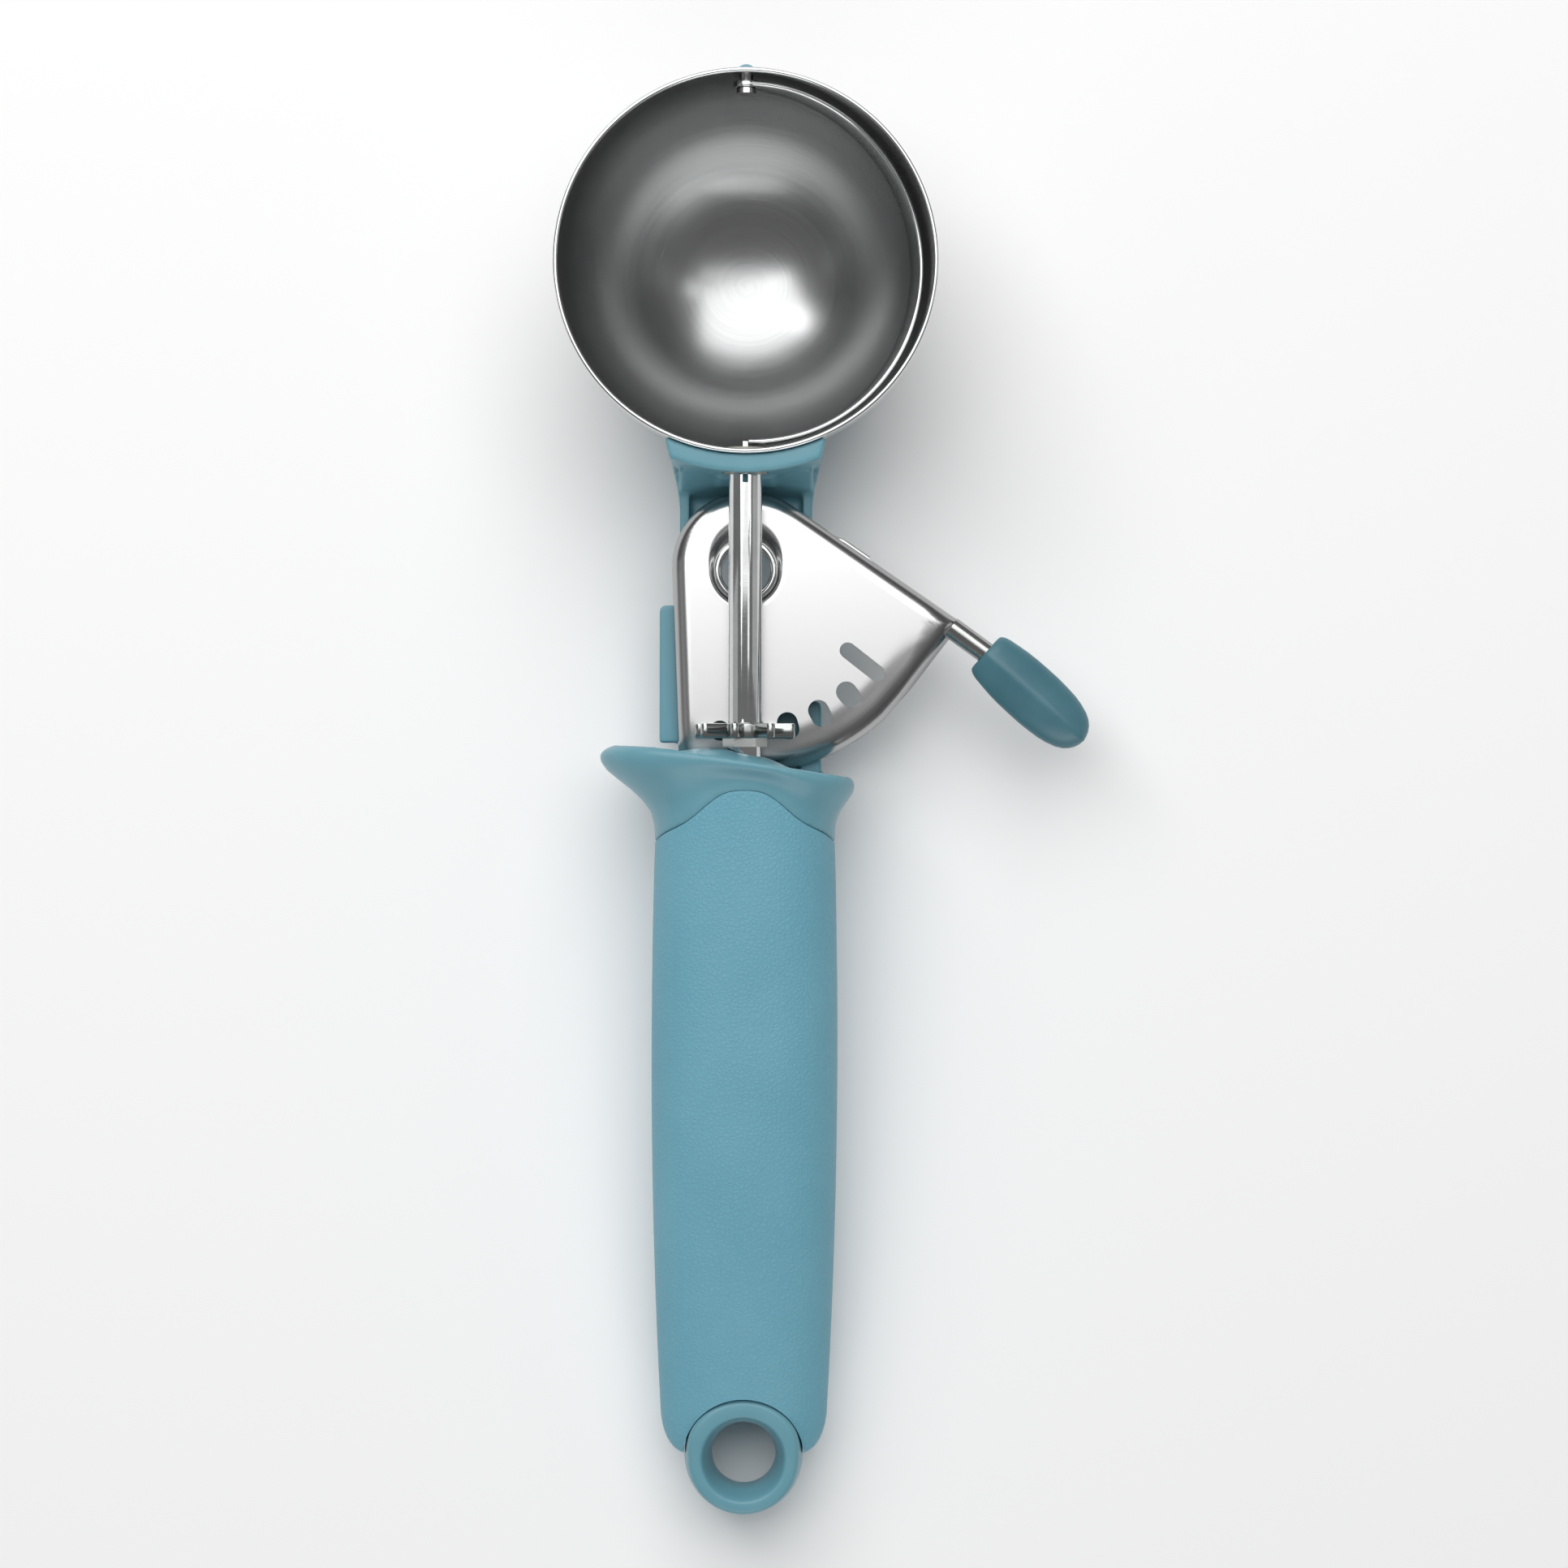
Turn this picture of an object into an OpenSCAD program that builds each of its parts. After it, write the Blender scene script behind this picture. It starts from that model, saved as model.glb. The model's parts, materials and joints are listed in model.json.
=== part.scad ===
// Ice cream scoop with a thumb lever, a star wheel and a scraper blade.
// The tool lies on a table: +Y runs from the handle's end to the bowl, +X is the
// lever's side and +Z is up, out of the bowl's mouth. The origin is the centre of
// the hang hole. Each piece is drawn in the tool's own plane, where Z = 0 is the
// middle of the handle, and is then laid down by one angle.

/* [Bowl] */
// Outer diameter of the bowl at its rim
bowl_d = 62; // [58:0.5:66]
// Thickness of the bowl's sheet
bowl_wall = 0.8; // [0.6:0.05:1]
// Height of the rim above the ball's centre
rim_rise = 4.5; // [3.8:0.1:5.5]

/* [Scraper] */
// Gap between the blade and the inside of the bowl
blade_gap = 0.9; // [0.7:0.05:1.2]
// Thickness of the blade's strip
blade_t = 0.8; // [0.6:0.05:1]
// Width of the blade's strip
blade_w = 5.5; // [4.5:0.1:6.5]
// Angle of the blade below the rim's plane at rest
blade_rest = 15; // [13:0.5:17]
// Radius of the pin that the blade's tip turns on
pin_r = 1.1; // [0.9:0.05:1.3]

/* [Shaft and star wheel] */
// Height of the shaft's axis above the middle of the handle
shaft_z = 4; // [3.6:0.1:4.4]
// Outer diameter of the shaft's tube
shaft_d = 5.4; // [5:0.1:5.6]
// Wall of the shaft's tube
shaft_wall = 0.9; // [0.7:0.05:1.1]
// Running clearance on the radius of turning pieces
run_gap = 0.05; // [0.03:0.01:0.08]
// Number of fingers on the star wheel
fingers = 8; // [8:1:8]
// Radius at the tips of the fingers
finger_tip_r = 8.3; // [8.1:0.05:8.4]
// Width of a finger
finger_w = 1.5; // [1.3:0.05:1.6]
// Thickness of the star wheel
wheel_t = 2.4; // [2:0.1:2.5]
// Thickness of the hexagonal collar under the wheel
hex_t = 1.4; // [1.2:0.1:1.6]
// Width of the hexagonal collar across its corners
hex_d = 7.2; // [6.9:0.1:7.6]

/* [Lever] */
// Distance from the pivot to the middle of the sector's holes
slot_r = 26.3; // [26.1:0.1:26.5]
// Angle between neighbouring holes of the sector
slot_step = 12.2; // [12:0.1:12.4]
// Angle of the engaged hole from the tool's axis at rest
slot_first = 3.2; // [3:0.1:3.4]
// Width of the sector's holes
slot_w = 3.4; // [3.2:0.05:3.5]
// Length of the sector's holes along the radius
slot_len = 4.5; // [4.4:0.1:4.7]
// Distance from the shaft's axis back to the middle of the sector's sheet
mesh_depth = 7; // [6.9:0.05:7.1]
// Thickness of the sector's sheet
sheet = 1; // [0.9:0.05:1.1]
// Depth of the sector with its edges bent back
flange = 3.5; // [3:0.1:3.8]
// Radius of the sector's lower edge about the pivot
sector_r = 33.2; // [32.6:0.1:33.6]
// Radius of the sector's round top about the pivot
crown_r = 12.4; // [11.8:0.1:12.8]
// Reach of the sector's tip to the side of the pivot
tip_x = 35.2; // [34.1:0.1:35.8]
// Drop of the sector's tip below the pivot
tip_drop = 9; // [8.2:0.1:9.8]
// Diameter of the lever's round tang
tang_d = 3.6; // [3.2:0.1:4]
// Length of the tang from the sector's tip to the thumb tip
tang_len = 5; // [4.5:0.1:5.5]
// Angle of the tang below the horizontal of the photographed tool
tang_drop = 36; // [35:0.5:37]
// Length of the thumb tip
thumb_len = 21.6; // [19.4:0.2:23.4]
// Width of the thumb tip
thumb_w = 9.8; // [9:0.1:10.2]
// Depth of the thumb tip's socket
socket_len = 9; // [8:0.5:11]
// Thickness of the thumb tip
thumb_t = 6.6; // [5.8:0.1:7.2]
// Angle of the thumb tip below the horizontal
thumb_drop = 42; // [41:0.5:43]

/* [Pivot and spring] */
// Bore of the hollow rivet
rivet_bore_r = 3.95; // [3.65:0.05:4.05]
// Wall of the hollow rivet
rivet_wall = 0.5; // [0.4:0.05:0.6]
// Radius of the rivet's rolled heads
rivet_head_r = 5.3; // [5.1:0.05:5.5]
// Thickness of the rivet's rolled heads
rivet_head_t = 0.7; // [0.6:0.05:0.8]
// Wire diameter of the return spring
wire_d = 1; // [0.8:0.05:1.05]
// Pitch of the spring's turns
spring_pitch = 1.5; // [1.46:0.02:1.55]
// Mean radius of the spring's turns
spring_r = 6.7; // [6.6:0.05:7]

/* [Neck] */
// Half the width of the neck behind the sector
neck_half = 10.9; // [10.1:0.1:11.5]
// Thickness of the neck's floor
floor_t = 2.5; // [2.2:0.1:2.8]
// Height of the neck's side walls above its floor
rib_h = 2.3; // [2:0.1:2.5]
// Distance from the sector's top to the bowl's rim
yoke_len = 5; // [4.9:0.1:5.8]
// Radial thickness of the yoke round the bowl
yoke_t = 3; // [2.8:0.1:3.4]
// Height of the yoke's front face above the shaft's axis
yoke_rise = 4.1; // [4:0.1:4.4]
// Thickness of the bracket's sheet behind the bowl
bracket_t = 1.05; // [0.9:0.05:1.2]
// Width of the bracket
bracket_w = 14; // [13:0.5:16]
// Distance between the bracket's two rivets
rivet_pitch = 8; // [7:0.2:9]
// Radius of a bracket rivet's shank
shank_r = 1.1; // [1:0.05:1.3]
// Radius of a bracket rivet's head
rivet_head = 2.1; // [1.9:0.1:2.2]

/* [Handle] */
// Distance from the hang hole to the sides of the grip's upper edge
grip_len = 99.4; // [93.4:0.2:107.4]
// Half the width of the grip at its belly
grip_half = 15.1; // [14.2:0.1:16]
// Half the thickness of the grip at its belly
grip_depth = 12; // [11.8:0.1:13]
// Depth of the flat along the back of the grip
grip_flat = 0.6; // [0.4:0.05:0.8]
// Distance from the grip's upper edge to the middle of the star wheel
wheel_up = 17.8; // [17.6:0.1:18.2]
// Height of the grip's rounded tongue on the collar
tongue_h = 6.2; // [5:0.1:7]
// Reach of the collar's left horn beyond the grip
horn_left = 9; // [8.2:0.1:9.6]
// Reach of the collar's right horn beyond the grip
horn_right = 3.2; // [2.6:0.1:3.5]
// Radius of the core's stem inside the grip
stem_r = 7; // [6:0.1:8]
// Length of the stem inside the collar
stem_root = 9; // [8:0.5:10]
// Wall of the two plain bushes
bush_wall = 0.7; // [0.6:0.05:0.8]
// Length of the upper bush inside the yoke
bush_seat = 2.9; // [2.6:0.1:2.9]
// Length of the lower bush
bush_len = 8; // [7:0.5:8]

/* [Hang ring] */
// Outer radius of the hang ring
ring_r = 9.6; // [9.3:0.1:9.7]
// Thickness of the hang ring
ring_t = 15; // [14:0.2:15.4]
// Radius of the hang hole
hang_r = 5.2; // [4.85:0.05:5.35]
// Length of the straight part of the hang hole
hang_len = 3; // [2.6:0.2:5]
// Width of the flare round the hang hole's mouths
hang_flare = 2.3; // [1.8:0.1:2.5]
// Height of the rounding of the ring's outer edges
ring_rise = 6; // [4:0.5:6.5]
// Radius of the ring's spigot in the stem
spigot_r = 3; // [2.6:0.1:3.4]
// Length of the ring's spigot in the stem
spigot_len = 10.5; // [8:0.5:14]

/* [Hidden] */
$fn = 72;
teal = [0.42, 0.64, 0.70];
soft_teal = [0.40, 0.65, 0.71];
steel = [0.78, 0.79, 0.80];
chrome = [0.88, 0.89, 0.90];
eps = 0.01;
// Small gap between pieces that are fixed to each other
seat = 0.03;
// Room round the shaft where it passes through the moulding
shaft_room = 0.4;
// Gap round the sheet bracket in its pocket
pocket_gap = 0.1;
// Clearance that keeps moving pieces apart
clear = 0.8;
// Depth of the lower bush's end below the top of the collar's dome
bush_sink = 1.2;

// Stations along the tool
wheel_y = grip_len + wheel_up;
pivot_y = wheel_y + slot_r;
crown_top = crown_r + 0.8;
bowl_r = bowl_d / 2;
bowl_y = pivot_y + crown_top + yoke_len + bowl_r;
bowl_in_r = bowl_r - bowl_wall;
wheel_low = wheel_y - wheel_t / 2;
boss_top = wheel_low - hex_t - 0.6;
bush_low = boss_top - bush_sink - bush_len;
shaft_low = bush_low + 0.5;
shaft_high = bowl_y - bowl_in_r - 0.2;
shaft_r = shaft_d / 2;
bush_r = shaft_r + run_gap + bush_wall;

// Levels of the sector and of what lies behind it
sector_mid = shaft_z - mesh_depth;
sector_front = sector_mid + sheet / 2;
sector_back = sector_front - flange;
floor_back = -12;
floor_top = floor_back + floor_t;
dish = 0.6;
dish_r = 6.3;
rivet_r = rivet_bore_r + rivet_wall;
hub_r = rivet_r + run_gap;
// Extra radius and thickness of the blade's two ears
ear_step = 0.15;
post_r = hub_r + 0.9;
washer_t = 0.8;
washer_r = rivet_head_r + 1.3;

// Cradle under the bowl, by its angle below the shaft's plane
cradle_high = 13;
cradle_low = 52;
cradle_step = 0.2;
rivet_angle = 40;
function cradle_z(angle) = shaft_z - (bowl_r + yoke_t) * sin(angle);

// Sections of the grip and the collar
section_steps = 32;
section_power = 2.5;
belly_y = 65;
tail_depth = 6.4;
tail_round = 7.8;
upper_half = grip_half - 0.5;
seam_gap = 0.05;
// Share of the collar's flare, from the grip's edge to the crest of the lip
flare = [[0, 0], [0.2, 0.02], [0.32, 0.08], [0.43, 0.22], [0.55, 0.45], [0.65, 0.68],
    [0.74, 0.9], [0.82, 1], [0.92, 0.92], [1, 0.68]];
lip_front = 2;
lip_slope = 0.155;
lip_sag = 1.3;
lip_y = grip_len + 13;

// Rounding of the hang ring, from its outer side to the flare of the hole
lip_r = hang_r + hang_flare;
ring_land = 0.2;
ring_round = ring_r - lip_r - ring_land;

// Angle that lays the tool down, with the bowl and the back of the handle on the table
ring_low = [lip_r + ring_land, ring_t / 2 - ring_rise];
function ring_touch(below) =
    asin((bowl_r - below) / norm([bowl_y + ring_low[0], shaft_z + ring_low[1]]))
    - atan2(shaft_z + ring_low[1], bowl_y + ring_low[0]);
function ring_below(angle) = norm([ring_round * sin(angle), ring_rise * cos(angle)]);
ring_angle = ring_touch(ring_below(ring_touch(ring_rise)));
function heel(y) = -half_depth(y) + grip_flat;
function touch_angle(y) =
    asin(bowl_r / norm([bowl_y - y, shaft_z - heel(y)]))
    - atan2(shaft_z - heel(y), bowl_y - y);
rest_tilt = min(ring_angle, min([for (y = grip_rows()) touch_angle(y)]));

function half_width(y) = y > belly_y
    ? grip_half - (grip_half - upper_half) * pow((y - belly_y) / (grip_len - belly_y), 2)
    : grip_half - 2 * pow((belly_y - y) / belly_y, 2);
function tail_width(y) = y < tail_round
    ? ring_r + 0.1 + (half_width(tail_round) - ring_r - 0.1)
        * sqrt(1 - pow((tail_round - y) / (tail_round - 0.3), 2))
    : half_width(y);
function half_depth(y) = y > belly_y ? grip_depth
    : grip_depth - (grip_depth - tail_depth) * pow((belly_y - y) / belly_y, 2);
function grip_rows() = concat([0.35, 0.8, 1.6, 2.8, 4.4, 6],
    [for (i = [0:12]) tail_round + (grip_len - 3 - tail_round) * i / 12]);

// One point of a section, at an angle round the tool's axis
function power(v) = sign(v) * pow(abs(v), 2 / section_power);
function step_angle(i) = -360 * (i + 0.5) / section_steps;
function section_x(i, left, right) =
    power(cos(step_angle(i))) * (cos(step_angle(i)) < 0 ? left : right);
function section_z(i, depth) =
    max(power(sin(step_angle(i))) * depth, -depth + grip_flat);

// Height of the seam between the grip and the collar
function seam_y(x) = grip_len + 2
    + tongue_h * exp(-pow(abs(x) / 7.9, 2.8))
    - 2.2 * pow(abs(x) / upper_half, 8);
function crest_y(x) = lip_y - lip_slope * x - lip_sag * pow(max(0, -x - 10) / 14, 2);

// A closed skin through rings of equal length, with a point at each end
function skin_faces(rows, cols) = concat(
    [for (i = [0:cols - 1]) [0, 1 + i, 1 + (i + 1) % cols]],
    [for (j = [0:rows - 2], i = [0:cols - 1])
        [1 + j * cols + i, 1 + (j + 1) * cols + i, 1 + (j + 1) * cols + (i + 1) % cols]],
    [for (j = [0:rows - 2], i = [0:cols - 1])
        [1 + j * cols + i, 1 + (j + 1) * cols + (i + 1) % cols, 1 + j * cols + (i + 1) % cols]],
    [for (i = [0:cols - 1])
        [1 + (rows - 1) * cols + i, 1 + rows * cols, 1 + (rows - 1) * cols + (i + 1) % cols]]);

module skin(first, rings, last) {
    points = concat([first], [for (ring = rings) each ring], [last]);
    polyhedron(points, skin_faces(len(rings), len(rings[0])), convexity = 6);
}

// Helpers that turn a shape to lie along the tool and lay the tool down
module laid() {
    rotate([rest_tilt, 0, 0]) children();
}

module along_y(y, z = 0) {
    translate([0, y, z]) rotate([-90, 0, 0]) children();
}

module at_pivot(z) {
    translate([0, pivot_y, z]) children();
}

module plate_box(x0, x1, y0, y1, z0, z1) {
    translate([x0, y0, z0]) cube([x1 - x0, y1 - y0, z1 - z0]);
}

module round_box(x0, x1, y0, y1, z0, z1, r) {
    translate([0, 0, z0]) linear_extrude(z1 - z0) {
        translate([x0 + r, y0]) square([x1 - x0 - 2 * r, y1 - y0]);
        translate([x0, y0 + r]) square([x1 - x0, y1 - y0 - 2 * r]);
        for (x = [x0 + r, x1 - r], y = [y0 + r, y1 - r]) translate([x, y]) circle(r);
    }
}

// Grip and collar
module grip_form() {
    rows = grip_rows();
    low = [for (y = rows) [for (i = [0:section_steps - 1])
        [section_x(i, tail_width(y), tail_width(y)), y, section_z(i, half_depth(y))]]];
    top = [for (i = [0:section_steps - 1])
        let (x = section_x(i, upper_half, upper_half))
        [x, seam_y(x) - seam_gap, section_z(i, grip_depth)]];
    skin([0, rows[0], 0], concat(low, [top]), [0, grip_len - seam_gap, 0]);
}

function collar_ring(t, share, inset = 0, sink = 0) = [for (i = [0:section_steps - 1])
    let (
        x0 = section_x(i, upper_half, upper_half),
        x1 = section_x(i, upper_half + share * horn_left - inset,
            upper_half + share * horn_right - inset),
        y0 = seam_y(x0),
        y1 = crest_y(x1) - sink
    )
    [x1, y0 + (y1 - y0) * t, section_z(i, grip_depth + share * lip_front - inset)]];

module collar_form() {
    outside = [for (p = flare) collar_ring(p[0], p[1])];
    inside = [collar_ring(1, flare[len(flare) - 1][1], 1.6, 0),
        collar_ring(1, flare[len(flare) - 1][1], 2.6, 1.2)];
    skin([0, grip_len, 0], concat(outside, inside), [0, lip_y - 1.2, 0]);
}

// The dome on the collar that the shaft enters
module shaft_boss() {
    dome_r = 10.9;
    ball_r = 27;
    dome_at = [-1.4, boss_top + 0.1, 1.2];
    translate(dome_at) rotate([0, 0, -atan(lip_slope)]) intersection() {
        translate([0, -ball_r, 0]) sphere(ball_r);
        translate([0, -3.5, 0]) rotate([-90, 0, 0]) cylinder(8, r = dome_r);
    }
}

// The room that the sector sweeps through
module sector_room() {
    at_pivot(sector_back - clear) cylinder(flange + 2 * clear, r = sector_r + clear);
}

module bowl_solid(grow) {
    translate([0, bowl_y, shaft_z]) {
        sphere(bowl_r + grow);
        cylinder(rim_rise + 10, r = bowl_r + grow);
    }
}

module neck_outline() {
    mouth_half = neck_half + 2;
    cradle_half = neck_half + 2.4;
    rim_y = bowl_y - bowl_r;
    polygon([[-neck_half, lip_y - 5], [-neck_half, rim_y - 7.6], [-neck_half - 0.4, rim_y - 4.4],
        [-neck_half - 1.1, rim_y - 1.4], [-mouth_half, rim_y + 2.3], [-cradle_half, rim_y + 6],
        [-cradle_half, rim_y + 20], [cradle_half, rim_y + 20], [cradle_half, rim_y + 6],
        [mouth_half, rim_y + 2.3], [neck_half + 1.1, rim_y - 1.4], [neck_half + 0.4, rim_y - 4.4],
        [neck_half, rim_y - 7.6], [neck_half, lip_y - 5]]);
}

// Neck floor with its low side walls and the two wider wings
module neck_floor() {
    rim_y = bowl_y - bowl_r;
    rib = 1.6;
    intersection() {
        translate([0, 0, floor_back]) linear_extrude(floor_t + rib_h) neck_outline();
        union() {
            plate_box(-20, 20, lip_y - 6, rim_y - 1, floor_back, floor_top);
            for (s = [-1, 1]) translate([s * (neck_half - rib / 2 + 3), 0, 0])
                plate_box(-rib / 2 - 3, rib / 2 + 3, lip_y - 6, rim_y - 2, floor_back, floor_top + rib_h);
        }
    }
    round_box(-neck_half - 3.3, -neck_half + 2, pivot_y - 28.1, pivot_y - 5.5,
        floor_back, floor_top + rib_h, 1);
    round_box(neck_half - 2, neck_half + 1.6, pivot_y - 33, pivot_y - 21.2,
        floor_back, floor_top + rib_h, 1);
}

// Yoke that holds the bowl, with its front ledge, web and cradle
module yoke() {
    rim_y = bowl_y - bowl_r;
    ledge_z = shaft_z + yoke_rise;
    difference() {
        union() {
            intersection() {
                translate([0, 0, floor_back]) linear_extrude(ledge_z - floor_back) neck_outline();
                translate([0, bowl_y, floor_back]) cylinder(ledge_z - floor_back, r = bowl_r + yoke_t);
                plate_box(-20, 20, rim_y - 5, rim_y + 8, floor_back, ledge_z);
            }
            intersection() {
                translate([0, 0, shaft_z - bowl_r]) linear_extrude(bowl_r) neck_outline();
                translate([0, bowl_y, shaft_z]) sphere(bowl_r + yoke_t + cradle_step);
                plate_box(-20, 20, rim_y - 5, bowl_y, cradle_z(cradle_low), cradle_z(cradle_high));
            }
            translate([-neck_half, 0, 0]) rotate([90, 0, 90]) linear_extrude(2 * neck_half)
                polygon([[rim_y - 11, floor_back], [rim_y - 11, floor_top], [rim_y - 6.2, floor_top],
                    [rim_y - 2.2, shaft_z - shaft_r - 2.3], [rim_y + 3, shaft_z - shaft_r - 2.3],
                    [rim_y + 5, floor_back]]);
            translate([-4.6, 0, 0]) rotate([90, 0, 90]) linear_extrude(9.2)
                polygon([[rim_y - 5.3, floor_top - eps], [rim_y - 3.4, shaft_z - shaft_r - 1],
                    [rim_y + 2, shaft_z - shaft_r - 1], [rim_y + 2, floor_top - eps]]);
        }
        bowl_solid(seat);
        bracket_form(pocket_gap);
        along_y(rim_y - 12, shaft_z) cylinder(12 - bush_seat + 0.1, r = shaft_r + shaft_room);
        along_y(rim_y - bush_seat, shaft_z) cylinder(12, r = bush_r + seat);
        rivet_shanks(seat);
    }
}

module handle_core() {
    color(teal) laid() difference() {
        union() {
            difference() {
                union() {
                    collar_form();
                    shaft_boss();
                    along_y(ring_r - 4) cylinder(grip_len + stem_root + 4 - ring_r, r = stem_r);
                }
                sector_room();
            }
            neck_floor();
            yoke();
            at_pivot(floor_top - eps) cylinder(sector_front - dish - sheet - 0.1 - floor_top, r = post_r);
        }
        bowl_solid(seat);
        cylinder(3 * ring_t, r = ring_r + 0.1 + seat, center = true);
        along_y(0) cylinder(ring_r + spigot_len + 0.3, r = spigot_r + seat);
        along_y(bush_low - seat, shaft_z) cylinder(bush_len + 2 * seat, r = bush_r + seat);
        along_y(bush_low, shaft_z) cylinder(bush_len + 8, r = shaft_r + shaft_room);
        at_pivot(floor_back - 1) cylinder(20, r = rivet_r + seat);
        at_pivot(floor_back - eps) cylinder(washer_t + eps, r = washer_r + seat);
        spring_anchor_hole();
    }
}

module grip_sleeve() {
    color(soft_teal) laid() difference() {
        grip_form();
        along_y(-1) cylinder(grip_len + 20, r = stem_r + seat);
        cylinder(3 * ring_t, r = ring_r + 0.1 + seat, center = true);
    }
}

module hang_ring() {
    half = ring_t / 2;
    straight = hang_len / 2;
    side = [for (a = [0:10:90]) ring_low + [ring_round * cos(a), ring_rise * sin(a)]];
    mouth = [for (a = [0:15:90])
        [lip_r - (lip_r - hang_r) * sin(a), half - (half - straight) * (1 - cos(a))]];
    upper = concat(side, mouth);
    lower = [for (i = [len(upper) - 1:-1:0]) [upper[i][0], -upper[i][1]]];
    color(teal) laid() {
        rotate_extrude() polygon(concat(upper, lower));
        difference() {
            along_y(lip_r) cylinder(ring_r + spigot_len - lip_r, r = spigot_r);
            cylinder(2 * ring_t, r = lip_r + 0.1, center = true);
        }
    }
}

// Bowl and what holds it
module bowl_profile(r, rise) {
    intersection() {
        circle(r);
        translate([0, -r]) square([r, r]);
    }
    square([r, rise]);
}

module bowl() {
    color(steel) laid() difference() {
        translate([0, bowl_y, shaft_z]) rotate_extrude() difference() {
            bowl_profile(bowl_r, rim_rise);
            bowl_profile(bowl_in_r, rim_rise + 1);
        }
        along_y(bowl_y - bowl_r - 2, shaft_z) cylinder(6, r = bush_r + seat);
        along_y(bowl_y + bowl_in_r - 2, shaft_z) cylinder(6, r = pin_r + seat);
    }
}

module bracket_form(grow) {
    intersection() {
        difference() {
            translate([0, bowl_y, shaft_z]) sphere(bowl_r + bracket_t + grow);
            translate([0, bowl_y, shaft_z]) sphere(bowl_r + seat);
        }
        plate_box(-bracket_w / 2 - grow, bracket_w / 2 + grow, bowl_y - bowl_r - yoke_t, bowl_y,
            cradle_z(cradle_low - 4) - grow, cradle_z(cradle_high + 3) + grow);
    }
}

module rivet_place(out) {
    for (s = [-1, 1]) translate([s * rivet_pitch / 2, bowl_y, shaft_z]) rotate([90 + rivet_angle, 0, 0])
        translate([0, 0, bowl_r + out]) children();
}

module rivet_shanks(grow) {
    rivet_place(0.2) cylinder(yoke_t + 0.6, r = shank_r + grow);
}

module bowl_bracket() {
    color(steel) laid() difference() {
        bracket_form(0);
        rivet_shanks(seat);
    }
}

module bracket_rivets() {
    head_ball = 1.2 * rivet_head;
    head_h = 0.35 * rivet_head;
    color(steel) laid() {
        rivet_shanks(0);
        rivet_place(yoke_t + cradle_step + seat) rotate_extrude() intersection() {
            translate([0, head_h - head_ball]) circle(head_ball);
            square([rivet_head, head_h]);
        }
    }
}

module upper_bush() {
    rim_y = bowl_y - bowl_r;
    color("ivory") laid() difference() {
        along_y(rim_y - bush_seat, shaft_z) cylinder(bush_seat + bowl_wall + 0.4, r = bush_r);
        along_y(rim_y - 4, shaft_z) cylinder(10, r = shaft_r + run_gap);
    }
}

module lower_bush() {
    color("ivory") laid() difference() {
        along_y(bush_low, shaft_z) cylinder(bush_len, r = bush_r);
        along_y(shaft_low - 0.2, shaft_z) cylinder(bush_len + 4, r = shaft_r + run_gap);
    }
}

module blade_pivot_pin() {
    tab_in = bowl_in_r - blade_gap - blade_t;
    color(chrome) laid() {
        along_y(bowl_y + tab_in - 0.5, shaft_z) cylinder(bowl_r + 0.9 - tab_in, r = pin_r);
        along_y(bowl_y + tab_in - ear_step - 0.9, shaft_z) cylinder(0.8, r = pin_r + 0.5);
    }
}

module pivot_pin_cap() {
    cap_r = pin_r + 0.55;
    cap_h = 1.2;
    ball_r = (cap_r * cap_r + cap_h * cap_h) / (2 * cap_h);
    color(teal) laid() difference() {
        along_y(bowl_y + bowl_r + seat, shaft_z) rotate_extrude() intersection() {
            translate([0, cap_h - ball_r]) circle(ball_r);
            square([cap_r + 1, cap_h + 1]);
        }
        along_y(bowl_y + bowl_r - 1, shaft_z) cylinder(1.6 + seat, r = pin_r + seat);
    }
}

// Pivot of the lever
module pivot_rivet() {
    front = sector_front - dish + seat;
    back = floor_back;
    color(chrome) laid() at_pivot(0) difference() {
        union() {
            translate([0, 0, back - rivet_head_t]) cylinder(front - back + 2 * rivet_head_t, r = rivet_r);
            translate([0, 0, front]) cylinder(rivet_head_t, r = rivet_head_r);
            translate([0, 0, back - rivet_head_t]) cylinder(rivet_head_t, r = rivet_head_r);
        }
        cylinder(60, r = rivet_bore_r, center = true);
    }
}

module rivet_washer() {
    color(steel) laid() at_pivot(floor_back) difference() {
        cylinder(washer_t, r = washer_r);
        translate([0, 0, -1]) cylinder(washer_t + 2, r = hub_r);
    }
}

// Upper straight edge of the sector, from its round top to its tip
edge_from = [0.3 + crown_r * cos(56), 0.7 + crown_r * sin(56)];
edge_to = [tip_x + 0.9, -tip_drop + 0.2];
edge_dir = (edge_to - edge_from) / norm(edge_to - edge_from);
function edge_point(s, out) =
    [edge_from[0] + s * edge_dir[0] - out * edge_dir[1],
        edge_from[1] + s * edge_dir[1] + out * edge_dir[0]];

// Return spring: one wire with a bent anchor, its turns and a leg hooked in the
// sector's edge
spring_turns = 2.5;
spring_top = sector_back + 0.95;
spring_low = spring_top - spring_turns * spring_pitch;
leg_angle = 87;
leg_bend = 10.3;
leg_end = 15.7;
rings_per_turn = 8;
anchor_angle = leg_angle + 360 * spring_turns;
anchor_low = floor_top - 1.2;

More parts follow.
